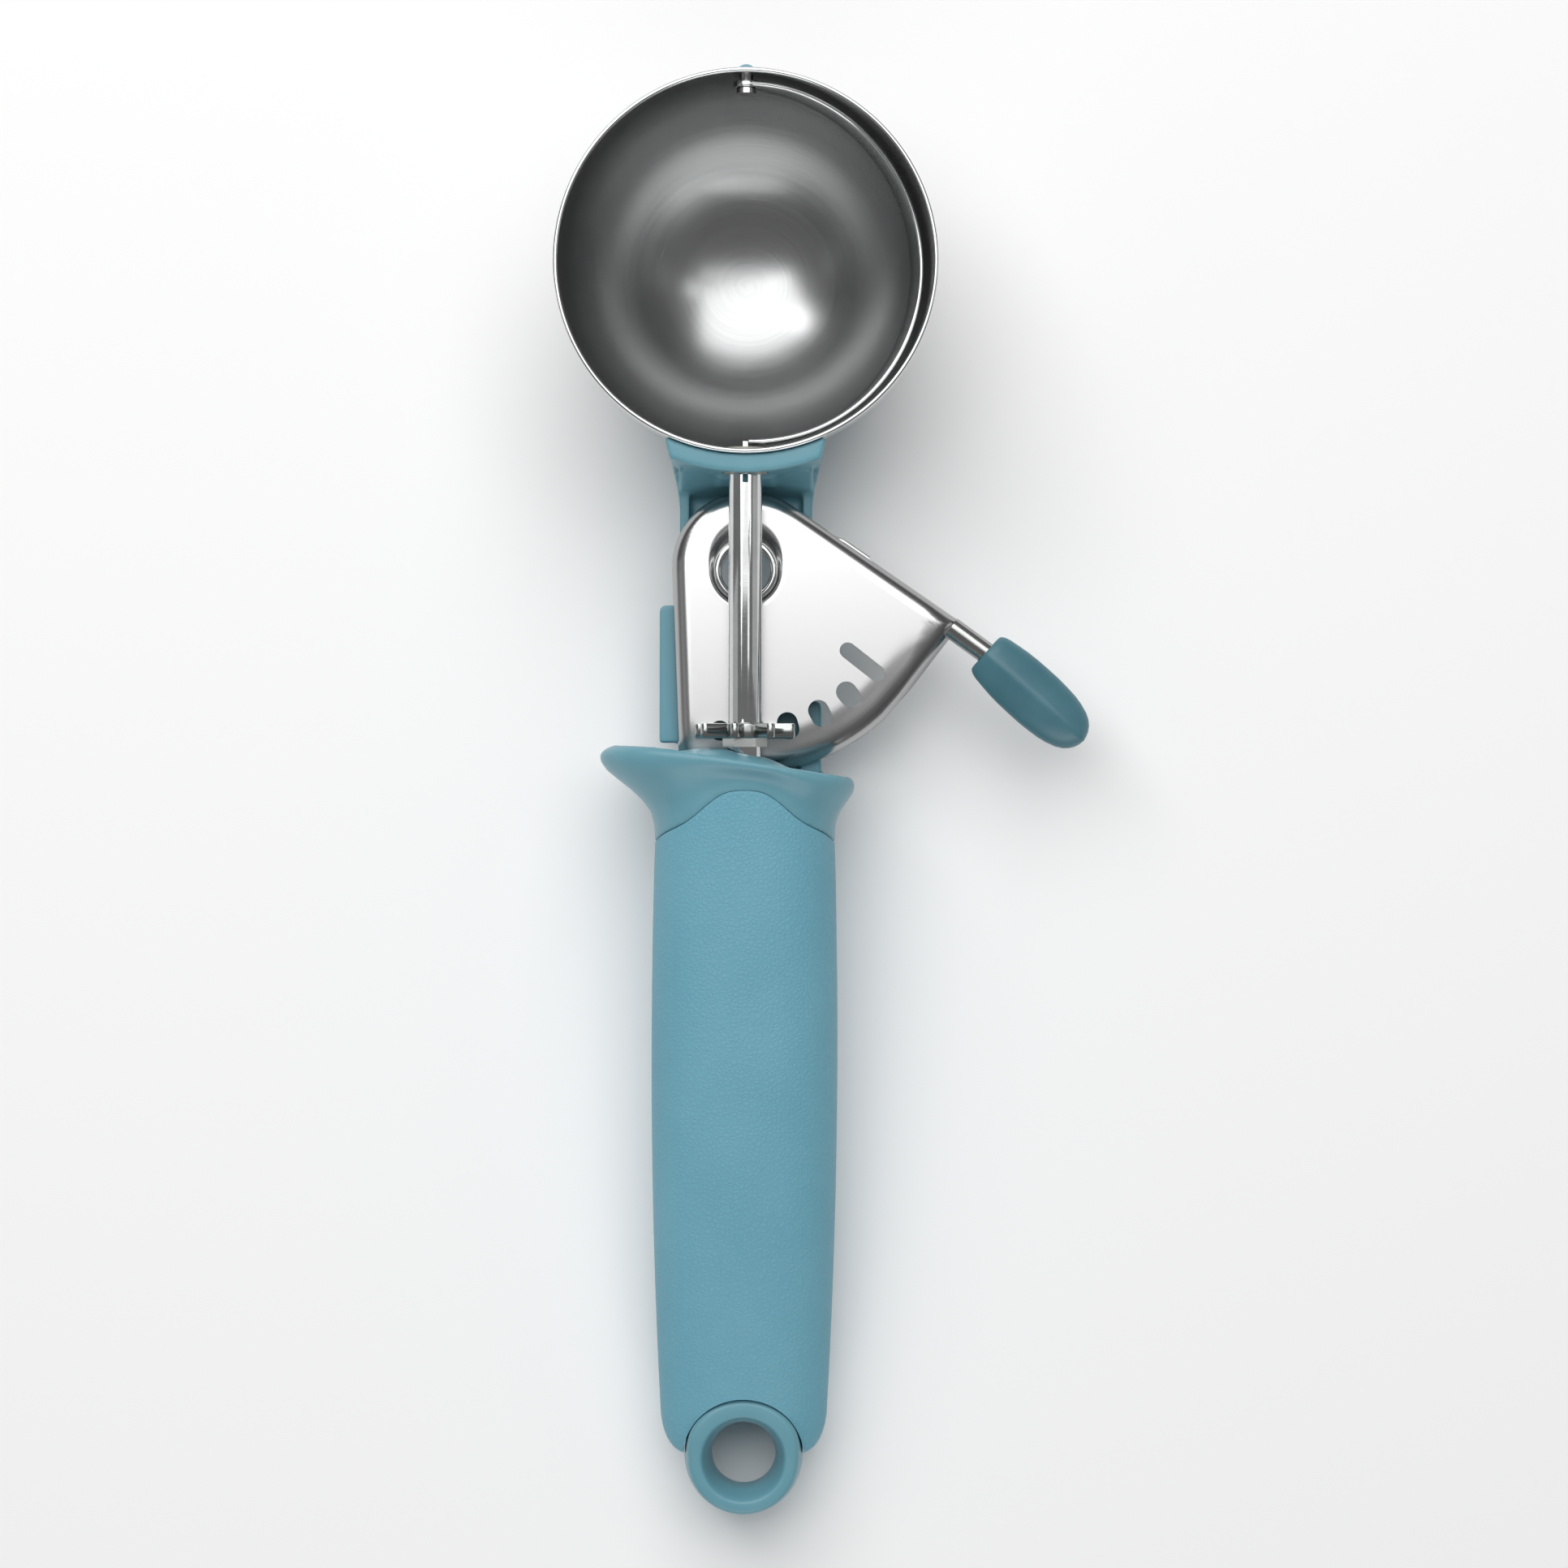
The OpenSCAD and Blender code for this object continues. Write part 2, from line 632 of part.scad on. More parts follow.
function coil_point(a, z) = [spring_r * cos(a), spring_r * sin(a), z];
function leg_point(s) = [edge_point(s, -0.1)[0], edge_point(s, -0.1)[1], spring_top];
function spring_path() = concat(
    [coil_point(anchor_angle, anchor_low), coil_point(anchor_angle, spring_low - 0.1)],
    [for (i = [1:rings_per_turn * spring_turns])
        coil_point(anchor_angle - 360 * i / rings_per_turn,
            spring_low + spring_pitch * i / rings_per_turn)],
    [(coil_point(leg_angle, spring_top) + leg_point(leg_bend)) / 2,
        leg_point(leg_bend - 0.4), leg_point(leg_bend + 0.6), leg_point(leg_end)]);

function direction(path, i) =
    let (d = path[min(i + 1, len(path) - 1)] - path[max(i - 1, 0)]) d / norm(d);
function wire_ring(path, i, r) =
    let (
        t = direction(path, i),
        out = [path[i][0], path[i][1], 0] / norm([path[i][0], path[i][1]]),
        u0 = out - t * (out * t),
        u = u0 / norm(u0),
        v = cross(t, u)
    )
    [for (k = [0:5]) path[i] + r * (cos(60 * k) * u + sin(60 * k) * v)];

module return_spring() {
    path = spring_path();
    rings = [for (i = [0:len(path) - 1]) wire_ring(path, i, wire_d / 2)];
    coil = [for (i = [2:1 + rings_per_turn * spring_turns]) path[i]];
    gaps = [for (i = [0:len(coil) - 1], j = [0:len(coil) - 1])
        if (j - i >= rings_per_turn - 2) norm(coil[j] - coil[i]) - wire_d];
    echo(str("return_spring: least gap between turns ", min(gaps), " mm"));
    color(chrome) laid() at_pivot(0) skin(path[0], rings, path[len(path) - 1]);
}

module spring_anchor_hole() {
    at_pivot(0) translate(coil_point(anchor_angle, anchor_low - 0.1))
        cylinder(floor_t, r = wire_d / 2 + 0.1);
}

// Lever
arc_from = -114;
arc_to = -36;
function sector_outline(inset) = concat(
    [for (a = [56:8:184]) [0.3 + (crown_r - inset) * cos(a), 0.7 + (crown_r - inset) * sin(a)]],
    [[-crown_r + 0.1 + inset, -24.4]],
    [for (a = [arc_from:6:arc_to]) (sector_r - inset) * [cos(a), sin(a)]],
    [[tip_x - 1.4 - 1.2 * inset, -tip_drop - 2.6 + 0.2 * inset],
        [edge_to[0] - 1.7 * inset, edge_to[1]]]);

module sector_hole(angle, mid, length, width) {
    rotate([0, 0, angle - 90]) {
        for (s = [-1, 1]) translate([mid + s * (length - width) / 2, 0, 0])
            cylinder(40, r = width / 2, center = true);
        translate([mid - (length - width) / 2, -width / 2, -20]) cube([length - width, width, 40]);
    }
}

module tang(length, r) {
    translate([tip_x - 1.6, -tip_drop - 0.8 + 0.65, sector_front - tang_d / 2 - 0.02])
        rotate([0, 0, -tang_drop]) rotate([0, 90, 0]) rotate(25) cylinder(length, r = r);
}

module sector_lever() {
    color(steel) laid() at_pivot(0) difference() {
        union() {
            difference() {
                translate([0, 0, sector_back]) linear_extrude(flange) polygon(sector_outline(0));
                translate([0, 0, sector_back - eps]) linear_extrude(flange - sheet + eps)
                    polygon(sector_outline(sheet));
            }
            translate([0, 0, sector_front - dish - sheet]) cylinder(sheet, r = dish_r + 1);
            tang(tang_len + 2 + socket_len, tang_d / 2);
        }
        translate([0, 0, sector_front - dish]) cylinder(4, r = dish_r);
        cylinder(60, r = hub_r, center = true);
        sector_hole(slot_first - slot_step, slot_r + 0.2, 3.32, 3.3);
        for (k = [0:3]) sector_hole(slot_first + k * slot_step, slot_r, slot_len, slot_w);
        sector_hole(slot_first + 4 * slot_step, slot_r - 2.1, 8.7, 2.65);
        translate([edge_from[0], edge_from[1], spring_top - 5]) rotate([0, 0, atan2(edge_dir[1], edge_dir[0])])
            translate([leg_bend - 2.8, -1.6, 0]) cube([leg_end - leg_bend + 3.4, 4, 5 + wire_d / 2 + 0.2]);
    }
}

// Half the width of the thumb tip as a share, from its socket to its end
thumb_shape = [[0, 0.77], [0.07, 0.86], [0.16, 0.92], [0.31, 0.99], [0.54, 1],
    [0.73, 0.94], [0.87, 0.78], [0.95, 0.54], [0.985, 0.28]];
thumb_start = tang_len + 0.9;

module at_thumb() {
    translate([tip_x - 1.6 + (thumb_start + 1.1) * cos(tang_drop),
        -tip_drop - 0.15 - (thumb_start + 1.1) * sin(tang_drop), sector_front - tang_d / 2 - 0.02])
        rotate([0, 0, -thumb_drop]) children();
}

module thumb_tip() {
    sides = 20;
    rings = [for (p = thumb_shape) [for (i = [0:sides - 1])
        let (
            a = 360 * i / sides,
            ridge = 0.1 * thumb_t * pow(max(0, sin(a)), 12) * p[1]
        )
        [p[0] * thumb_len, power(cos(a)) * p[1] * thumb_w / 2,
            power(sin(a)) * (0.25 + 0.75 * p[1]) * thumb_t / 2 + ridge]]];
    color(teal) laid() at_pivot(0) difference() {
        at_thumb() skin([0, 0, 0], rings, [thumb_len, 0, 0]);
        tang(tang_len + 2 + socket_len + 0.1, tang_d / 2 + seat);
    }
}

// Scraper
module scraper_blade() {
    blade_out = bowl_in_r - blade_gap;
    blade_in = blade_out - blade_t;
    color(steel) laid() translate([0, bowl_y, shaft_z]) difference() {
        union() {
            rotate([0, blade_rest, 0]) rotate([0, 0, -90]) rotate_extrude(angle = 180)
                translate([blade_in, -blade_w / 2]) square([blade_t, blade_w]);
            for (s = [-1, 1]) translate([0, s * (blade_in + blade_t / 2), 0]) rotate([90, 0, 0])
                cylinder(blade_t + 2 * ear_step, r = blade_w / 2 + ear_step, center = true);
            translate([-blade_t / 2, -blade_out - 4.8, -shaft_r + 0.05])
                cube([blade_t, 5.2, shaft_d - 0.1]);
        }
        translate([0, blade_in - 2, 0]) rotate([-90, 0, 0]) cylinder(6, r = pin_r + run_gap);
    }
}

module drive_shaft() {
    notch_w = blade_t + 0.1;
    notch_low = bowl_y - bowl_r - 4.5;
    color(chrome) laid() difference() {
        along_y(shaft_low, shaft_z) cylinder(shaft_high - shaft_low, r = shaft_r);
        along_y(shaft_low - 1, shaft_z) cylinder(shaft_high - shaft_low + 2, r = shaft_r - shaft_wall);
        plate_box(-notch_w / 2, notch_w / 2, notch_low, shaft_high + 1,
            shaft_z - shaft_r - 1, shaft_z + shaft_r + 1);
    }
}

module star_wheel() {
    tip_round = finger_w / 2;
    reach = finger_tip_r - tip_round;
    back_angle = slot_first * 360 / fingers / slot_step;
    color(chrome) laid() difference() {
        along_y(wheel_low, shaft_z) {
            cylinder(wheel_t, r = 3.9);
            for (k = [0:fingers - 1]) rotate([0, 0, 90 - back_angle + k * 360 / fingers]) {
                translate([0, -finger_w / 2, 0]) cube([reach, finger_w, wheel_t]);
                translate([reach, 0, 0]) cylinder(wheel_t, r = tip_round);
            }
        }
        along_y(wheel_low - 1, shaft_z) cylinder(wheel_t + 2, r = shaft_r + seat);
    }
}

module hex_collar() {
    color(chrome) laid() difference() {
        along_y(wheel_low - hex_t, shaft_z) cylinder(hex_t, r = hex_d / 2, $fn = 6);
        along_y(wheel_low - hex_t - 1, shaft_z) cylinder(hex_t + 2, r = shaft_r + seat);
    }
}

handle_core();
grip_sleeve();
hang_ring();
bowl();
bowl_bracket();
bracket_rivets();
upper_bush();
lower_bush();
blade_pivot_pin();
pivot_pin_cap();
pivot_rivet();
rivet_washer();
return_spring();
sector_lever();
thumb_tip();
scraper_blade();
drive_shaft();
star_wheel();
hex_collar();
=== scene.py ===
import json
import math

import bmesh
import bpy
import numpy as np
from mathutils import Matrix, Vector


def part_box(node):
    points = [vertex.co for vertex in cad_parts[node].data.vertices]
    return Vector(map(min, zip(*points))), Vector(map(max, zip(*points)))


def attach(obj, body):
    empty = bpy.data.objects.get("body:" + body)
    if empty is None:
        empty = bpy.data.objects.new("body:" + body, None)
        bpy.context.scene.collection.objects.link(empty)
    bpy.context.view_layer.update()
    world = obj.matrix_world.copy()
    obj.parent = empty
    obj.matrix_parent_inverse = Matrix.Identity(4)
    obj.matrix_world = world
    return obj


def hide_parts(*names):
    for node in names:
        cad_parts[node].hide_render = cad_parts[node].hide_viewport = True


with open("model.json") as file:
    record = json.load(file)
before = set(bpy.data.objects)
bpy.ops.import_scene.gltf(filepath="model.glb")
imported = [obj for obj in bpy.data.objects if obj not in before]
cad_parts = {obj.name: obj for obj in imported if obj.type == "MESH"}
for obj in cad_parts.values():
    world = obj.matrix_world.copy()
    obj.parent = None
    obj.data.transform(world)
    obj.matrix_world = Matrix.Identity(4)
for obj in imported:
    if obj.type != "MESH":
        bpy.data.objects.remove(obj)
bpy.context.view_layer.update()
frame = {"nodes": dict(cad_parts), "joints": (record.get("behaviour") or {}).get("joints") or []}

# The pieces are drawn in millimetres in the tool's own plane: X to the lever, Y to
# the bowl, Z out of the bowl's mouth. LAY puts them where the tool lies.
scraper_axis = next(j for j in frame["joints"] if j["name"] == "scraper_turn")["axis"]
TILT = math.atan2(scraper_axis[2], scraper_axis[1])
MM = 0.001
LAY = Matrix.Rotation(TILT, 4, "X") @ Matrix.Scale(MM, 4)

# Sizes of the tool, in millimetres
BOWL_R, BOWL_WALL, RIM_RISE = 31.0, 0.8, 4.5
SHAFT_Z, SHAFT_R, SHAFT_WALL = 4.0, 2.7, 0.9
GRIP_LEN, GRIP_HALF, GRIP_DEPTH, GRIP_FLAT = 99.4, 15.1, 12.0, 0.6
BELLY_Y, TAIL_DEPTH, TAIL_ROUND = 65.0, 6.4, 7.8
GRIP_FOOT, UPPER_TAPER, LOWER_TAPER, SQUARENESS = 0.3, 0.5, 2.0, 2.5
UPPER_HALF = GRIP_HALF - UPPER_TAPER
SEAM_Y, SEAM_DROP, TONGUE, TONGUE_HALF = GRIP_LEN + 2, 2.2, 6.2, 7.9
WHEEL_Y = 117.2
PIVOT_Y = 143.5
BOWL_Y = 192.7
LIP_Y, LIP_SLOPE, LIP_FRONT = 112.4, 0.155, 2.0
LIP_SAG, LIP_SAG_FROM, LIP_SAG_RUN = 1.3, 10, 14
HORN_LEFT, HORN_RIGHT = 9.0, 3.2
RING_R, RING_HALF = 9.6, 7.5
HANG_R, HANG_HALF = 5.2, 1.5
WHEEL_T, HEX_T = 2.4, 1.4
BOSS_TOP = WHEEL_Y - WHEEL_T / 2 - HEX_T - 0.6
RUN_GAP, SEAT_GAP, BUSH_WALL = 0.05, 0.03, 0.7
BUSH_LEN, BUSH_R, BUSH_SINK = 8.0, SHAFT_R + RUN_GAP + BUSH_WALL, 1.2
BUSH_LOW = BOSS_TOP - BUSH_SINK - BUSH_LEN
SHAFT_LOW = BUSH_LOW + 0.5
SHAFT_HIGH = BOWL_Y - BOWL_R + BOWL_WALL - 0.2
FINGERS, FINGER_TIP, FINGER_W = 8, 8.3, 1.5
SLOT_STEP, SLOT_FIRST, SLOT_R, SLOT_LEN, SLOT_W = 12.2, 3.2, 26.3, 4.5, 3.4
SLOTS = 4
REST_HOLE_OUT, REST_HOLE_LEN, REST_HOLE_W = 0.2, 3.32, 3.3
LAST_SLOT_IN, LAST_SLOT_LEN, LAST_SLOT_W = 2.1, 8.7, 2.65
SHEET, FLANGE, SECTOR_FRONT = 1.0, 3.5, -2.5
DISH, DISH_R = 0.6, 6.3
RIVET_BORE, RIVET_WALL, RIVET_HEAD, RIVET_HEAD_T = 3.95, 0.5, 5.3, 0.7
FLOOR_BACK, FLOOR_TOP = -12.0, -9.5
CROWN_X, CROWN_Y, CROWN_R, CROWN_END = 0.3, 0.7, 12.4, 56
SECTOR_R, TIP_X, TIP_DROP = 33.2, 35.2, 9.0
CROWN_SWEEP, EDGE_START, EDGE_STOP = 128, -108, -36
FOOT_CORNER = (-CROWN_R + 0.1, -24.4)
TIP_LOW, TIP_LOW_ROUND = (TIP_X - 1.4, -TIP_DROP - 2.6), 2.0
TIP_CORNER, TIP_ROUND = (TIP_X + 0.9, -TIP_DROP + 0.2), 1.3
BEND_R, BAND_R = 2.8, 26.8
CREASE_A, CREASE_B = (30.5, -5.5), (26.3, -16.6)
TANG_R, TANG_LEN, TANG_ROOT, TANG_HELD, TANG_DROP = 1.8, 5.0, 2.0, 9.0, 36.0
THUMB_LEN, THUMB_W, THUMB_T, THUMB_DROP = 21.6, 9.8, 6.6, 42.0
THUMB_START = TANG_LEN + 2.0
WIRE, SPRING_R, SPRING_PITCH, SPRING_TURNS = 1.0, 6.7, 1.5, 2.5
SPRING_TOP = SECTOR_FRONT - FLANGE + 0.95
LEG_ANGLE, LEG_BEND, LEG_END = math.radians(87), 10.3, 15.7
BLADE_GAP, BLADE_T, BLADE_W, BLADE_REST = 0.9, 0.8, 5.5, 15.0
EAR_R = 2.1
NECK_HALF, RIB_H, RIB_T = 10.9, 2.3, 1.6
NECK_LOW, NECK_CUT, NECK_LAP = LIP_Y - 5.5, LIP_Y + 4.2, 0.4
TAB_T, LEFT_TAB_OUT, LEFT_TAB_Y = 2.0, 3.3, PIVOT_Y - 28.1
RIGHT_TAB_OUT, RIGHT_TAB_Y = 1.6, PIVOT_Y - 33.0


class Strand:
    """A node's output. Sums on it add Math nodes."""

    def __init__(self, finish, socket):
        self.finish, self.socket = finish, socket

    def sum(self, how, a, b=0.0):
        return self.finish.add("ShaderNodeMath", {"operation": how}, {0: a, 1: b})

    def __add__(self, b): return self.sum("ADD", self, b)
    def __sub__(self, b): return self.sum("SUBTRACT", self, b)
    def __rsub__(self, b): return self.sum("SUBTRACT", b, self)
    def __mul__(self, b): return self.sum("MULTIPLY", self, b)
    def __truediv__(self, b): return self.sum("DIVIDE", self, b)
    def sine(self): return self.sum("SINE", self)
    def root(self): return self.sum("SQRT", self)
    def turn(self, b): return self.sum("ARCTAN2", self, b)
    def least(self, b): return self.sum("MINIMUM", self, b)
    def most(self, b): return self.sum("MAXIMUM", self, b)
    def clip(self): return self.most(0.0).least(1.0)


class Nodes:
    """One node tree of any kind. add() takes a node's type, its settings, then its inputs."""

    def __init__(self, tree):
        self.tree = tree

    def add(self, kind, settings=None, inputs=None, out=0):
        node = self.tree.nodes.new(kind)
        for key, value in (settings or {}).items():
            if key == "stops":
                self.set_stops(node, value)
            else:
                setattr(node, key, value)
        for key, value in (inputs or {}).items():
            socket = node.inputs[key]
            if isinstance(value, Strand):
                self.tree.links.new(value.socket, socket)
            else:
                socket.default_value = value
        return Strand(self, node.outputs[out]) if len(node.outputs) else node

    def set_stops(self, node, stops):
        ramp = node.color_ramp
        while len(ramp.elements) < len(stops):
            ramp.elements.new(0.5)
        for element, (place, tone) in zip(ramp.elements, stops):
            element.position = place
            element.color = (*tone, 1.0) if isinstance(tone, tuple) else (tone, tone, tone, 1.0)


class Finish(Nodes):
    """A material with one Principled shader."""

    def __init__(self, name, **base):
        self.material = bpy.data.materials.new(name)
        self.material.use_nodes = True
        super().__init__(self.material.node_tree)
        self.tree.nodes.clear()
        self.shader = self.tree.nodes.new("ShaderNodeBsdfPrincipled")
        last = self.tree.nodes.new("ShaderNodeOutputMaterial")
        self.tree.links.new(self.shader.outputs[0], last.inputs[0])
        self.feed(**base)

    def feed(self, **sockets):
        for key, value in sockets.items():
            socket = self.shader.inputs[key.replace("_", " ")]
            if isinstance(value, Strand):
                self.tree.links.new(value.socket, socket)
            else:
                socket.default_value = value

    def place(self):
        return self.add("ShaderNodeTexCoord", out="Object")

    def tool_place(self):
        """Object coordinates turned into the tool's plane, in millimetres."""
        return self.add("ShaderNodeMapping", {"vector_type": "POINT"}, {
            "Vector": self.place(), "Rotation": (-TILT, 0.0, 0.0),
            "Scale": (1 / MM, 1 / MM, 1 / MM)})

    def split(self, vector):
        node = self.add("ShaderNodeSeparateXYZ", None, {0: vector}).socket.node
        return [Strand(self, s) for s in node.outputs]

    def join(self, x, y, z):
        return self.add("ShaderNodeCombineXYZ", None, {0: x, 1: y, 2: z})

    def noise(self, vector, scale, detail=2.0, roughness=0.5):
        return self.add("ShaderNodeTexNoise", None, {
            "Vector": vector, "Scale": scale, "Detail": detail, "Roughness": roughness})

    def ramp(self, value, *stops):
        return self.add("ShaderNodeValToRGB", {"stops": stops}, {0: value})

    def mix(self, mask, a, b):
        rgba = [v if isinstance(v, Strand) else (*v, 1.0) for v in (a, b)]
        return self.add("ShaderNodeMix", {"data_type": "RGBA"}, {0: mask, 6: rgba[0], 7: rgba[1]}, 2)

    def bump(self, height, strength, distance):
        return self.add("ShaderNodeBump", None, {
            "Strength": strength, "Distance": distance, "Height": height})


# Finishes
TEAL = (0.130, 0.315, 0.385)
TEAL_LIGHT = (0.150, 0.345, 0.415)
THUMB_TEAL = (0.056, 0.160, 0.200)
GRIP_TEAL = (0.125, 0.350, 0.450)
GRIP_LIGHT = (0.150, 0.385, 0.485)
GRIP_PALE = (0.175, 0.405, 0.500)
WORN_PLATING = (0.60, 0.60, 0.59)


def moulded_plastic(name, colour, lighter, rough):
    """Smooth moulded plastic with faint flow clouds and fine scuffs."""
    f = Finish(name, IOR=1.46)
    place = f.tool_place()
    cloud = f.noise(place, 0.09, 3.0, 0.6)
    grain = f.noise(place, 2.6, 3.0, 0.65)
    mask = f.ramp(cloud, (0.3, 0.0), (0.75, 1.0))
    f.feed(Base_Color=f.mix(mask, colour, lighter))
    scuff = f.ramp(f.noise(place, 0.9, 5.0, 0.7), (0.48, 0.0), (0.72, 1.0))
    f.feed(Roughness=scuff * 0.07 + grain * 0.06 + (rough - 0.05),
           Normal=f.bump(grain, 0.10, 0.00012))
    return f.material


def grained_grip(name):
    """Soft grip with a fine leather-like grain, lighter on its raised cells."""
    f = Finish(name, IOR=1.48)
    place = f.tool_place()
    cell = f.add("ShaderNodeTexVoronoi", {"feature": "DISTANCE_TO_EDGE"},
                 {"Vector": place, "Scale": 1.35})
    fine = f.noise(place, 2.8, 2.0, 0.6)
    grain = f.ramp(cell, (0.0, 0.0), (0.22, 0.75), (0.5, 1.0)) * 0.55 + fine * 0.45
    cloud = f.noise(place, 0.07, 3.0, 0.6)
    tone = f.mix(f.ramp(cloud, (0.3, 0.0), (0.75, 1.0)), GRIP_TEAL, GRIP_LIGHT)
    surface_colour = f.mix(grain * 0.35, tone, GRIP_PALE)
    f.feed(Base_Color=surface_colour, Roughness=grain * 0.10 + 0.50,
           Normal=f.bump(grain, 0.60, 0.00018))
    return f.material


def bright_metal(name, tone, rough, scratch=0.25):
    """Plated or polished metal with hairline scratches and faint clouding."""
    f = Finish(name, Metallic=1.0)
    place = f.tool_place()
    x, y, z = f.split(place)
    cloud = f.noise(place, 0.16, 3.0, 0.6)
    hair = f.noise(f.join(x * 0.35, y * 5.0, z * 5.0), 1.0, 3.0, 0.7)
    cross = f.noise(f.join(x * 4.0, y * 0.4, z * 4.0), 1.0, 3.0, 0.7)
    lines = f.ramp(hair.most(cross), (0.58, 0.0), (0.74, 1.0))
    dull = tuple(v * 0.86 for v in tone)
    f.feed(Base_Color=f.mix(f.ramp(cloud, (0.35, 0.0), (0.7, 1.0)), tone, dull),
           Roughness=lines * (0.12 * scratch) + cloud * 0.05 + (rough - 0.02),
           Normal=f.bump(lines, 0.04 * scratch, 0.00005))
    return f.material


# Painted shade in the stamping's plating by depth below its front, as a share of the bent edge: darker down
# the bend, in the dish and where the sheet lies back, with a painted highlight at the bent edge's rear rim
BEND_SHADE_AND_RIM_HIGHLIGHT = [(0.0, 0.68), (0.035, 0.60), (0.10, 0.40), (0.17, 0.27), (0.30, 0.42), (0.60, 0.44),
              (0.80, 0.22), (0.93, 0.16), (0.97, 0.75)]


def pressed_plating(name):
    """Satin plating on the stamping, with painted shade where the sheet bends back or is dished and a
    painted highlight at the rim.
    """
    f = Finish(name, Metallic=1.0)
    x, y, z = f.split(f.tool_place())
    # painted shade: the plating's colour darkens with depth below the sheet's front
    tone = f.ramp((SECTOR_FRONT - z) / FLANGE, *BEND_SHADE_AND_RIM_HIGHLIGHT)
    satin = f.noise(f.join(x * 0.5, y * 6.0, z * 6.0), 1.0, 3.0, 0.65)
    cloud = f.noise(f.join(x, y, z), 0.12, 3.0, 0.6)
    hair = f.ramp(f.noise(f.join(x * 3.0, y * 0.3, z * 3.0), 1.0, 3.0, 0.7), (0.60, 0.0), (0.75, 1.0))
    # painted shade from the depth ramp, with hairline and cloudy wear mixed over it
    surface_colour = f.mix(hair * 0.08 + cloud * 0.05, tone, WORN_PLATING)
    f.feed(Base_Color=surface_colour, Roughness=satin * 0.05 + cloud * 0.05 + 0.17,
           Normal=f.bump(satin, 0.012, 0.00006))
    return f.material


def spun_steel(name):
    """Bowl: satin inside with faint turning rings on a colour darkened as painted shade, brighter and
    smoother outside.
    """
    f = Finish(name, Metallic=1.0)
    x, y, z = f.split(f.tool_place())
    y, z = y - BOWL_Y, z - SHAFT_Z
    flat = (x * x + y * y).root()
    reach = (flat * flat + z * z).root()
    outside = f.ramp((reach - (BOWL_R - BOWL_WALL)) / BOWL_WALL, (0.45, 0.0), (0.55, 1.0))
    around = y.turn(x)
    rings = f.noise(f.join(flat * 2.2, around * 0.3, z * 2.2), 1.0, 3.0, 0.6)
    fine = f.noise(f.join(flat * 14.0, around * 2.0, z * 14.0), 1.0, 2.0, 0.6)
    cloud = f.noise(f.join(x, y, z), 0.11, 3.0, 0.6)
    # painted shade: the inside's steel is given a darker grey than the outside's
    inside_shade_grey = f.mix(f.ramp(rings, (0.3, 0.0), (0.75, 1.0)), (0.41, 0.415, 0.415), (0.45, 0.455, 0.455))
    f.feed(Base_Color=f.mix(outside, inside_shade_grey, (0.70, 0.71, 0.71)),
           Roughness=rings * 0.03 + cloud * 0.05 + fine * 0.03 + 0.20 - outside * 0.08,
           Normal=f.bump(rings * 0.4 + fine * 0.6, 0.014, 0.00008))
    return f.material


FINISH = {
    "core": moulded_plastic("teal_plastic", TEAL, TEAL_LIGHT, 0.36),
    "grip": grained_grip("teal_grip"),
    "thumb": moulded_plastic("teal_thumb", THUMB_TEAL, (0.075, 0.195, 0.240), 0.33),
    "bush": moulded_plastic("ivory_bush", (0.36, 0.35, 0.31), (0.40, 0.39, 0.35), 0.4),
    "tang": bright_metal("tang_plating", (0.44, 0.45, 0.44), 0.16, 0.8),
    "bowl": spun_steel("spun_steel"),
    "blade": bright_metal("blade_steel", (0.70, 0.71, 0.71), 0.14, 1.0),
    "sector": pressed_plating("sector_plating"),
    "chrome": bright_metal("chrome_plating", (0.68, 0.69, 0.69), 0.08, 0.5),
    "wheel": bright_metal("wheel_plating", (0.40, 0.42, 0.41), 0.15, 0.5),
    "steel": bright_metal("plain_steel", (0.60, 0.61, 0.61), 0.24, 1.2),
    "wire": bright_metal("drawn_wire", (0.66, 0.66, 0.66), 0.2, 1.0),
}


def linked(name, data):
    """A new object in the scene."""
    thing = bpy.data.objects.new(name, data)
    bpy.context.scene.collection.objects.link(thing)
    return thing


def settle(name, mesh, body, finish, stands_for=(), crease=32.0, matrix=None):
    """Lays a mesh down, smooths it up to the crease angle and lets it ride."""
    if matrix is not None:
        mesh.transform(matrix)
    mesh.transform(LAY)
    mesh.materials.clear()
    mesh.materials.append(FINISH[finish])
    mesh.polygons.foreach_set("material_index", [0] * len(mesh.polygons))
    mesh.polygons.foreach_set("use_smooth", [True] * len(mesh.polygons))
    mesh.set_sharp_from_angle(angle=math.radians(crease))
    mesh.update()
    piece = linked(name, mesh)
    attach(piece, body)
    if stands_for:
        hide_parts(*stands_for)
    return piece


# Mesh helpers. Points are in the tool's plane, in millimetres
def mesh_of(points, faces):
    mesh = bpy.data.meshes.new("draft")
    mesh.from_pydata([tuple(map(float, p)) for p in points], [], faces)
    tidy_normals(mesh)
    return mesh


def tidy_normals(mesh, merge=1e-4):
    """Merges points closer than merge and turns the faces outwards."""
    work = bmesh.new()
    work.from_mesh(mesh)
    bmesh.ops.remove_doubles(work, verts=work.verts, dist=merge)
    bmesh.ops.recalc_face_normals(work, faces=work.faces)
    work.to_mesh(mesh)
    work.free()
    mesh.update()


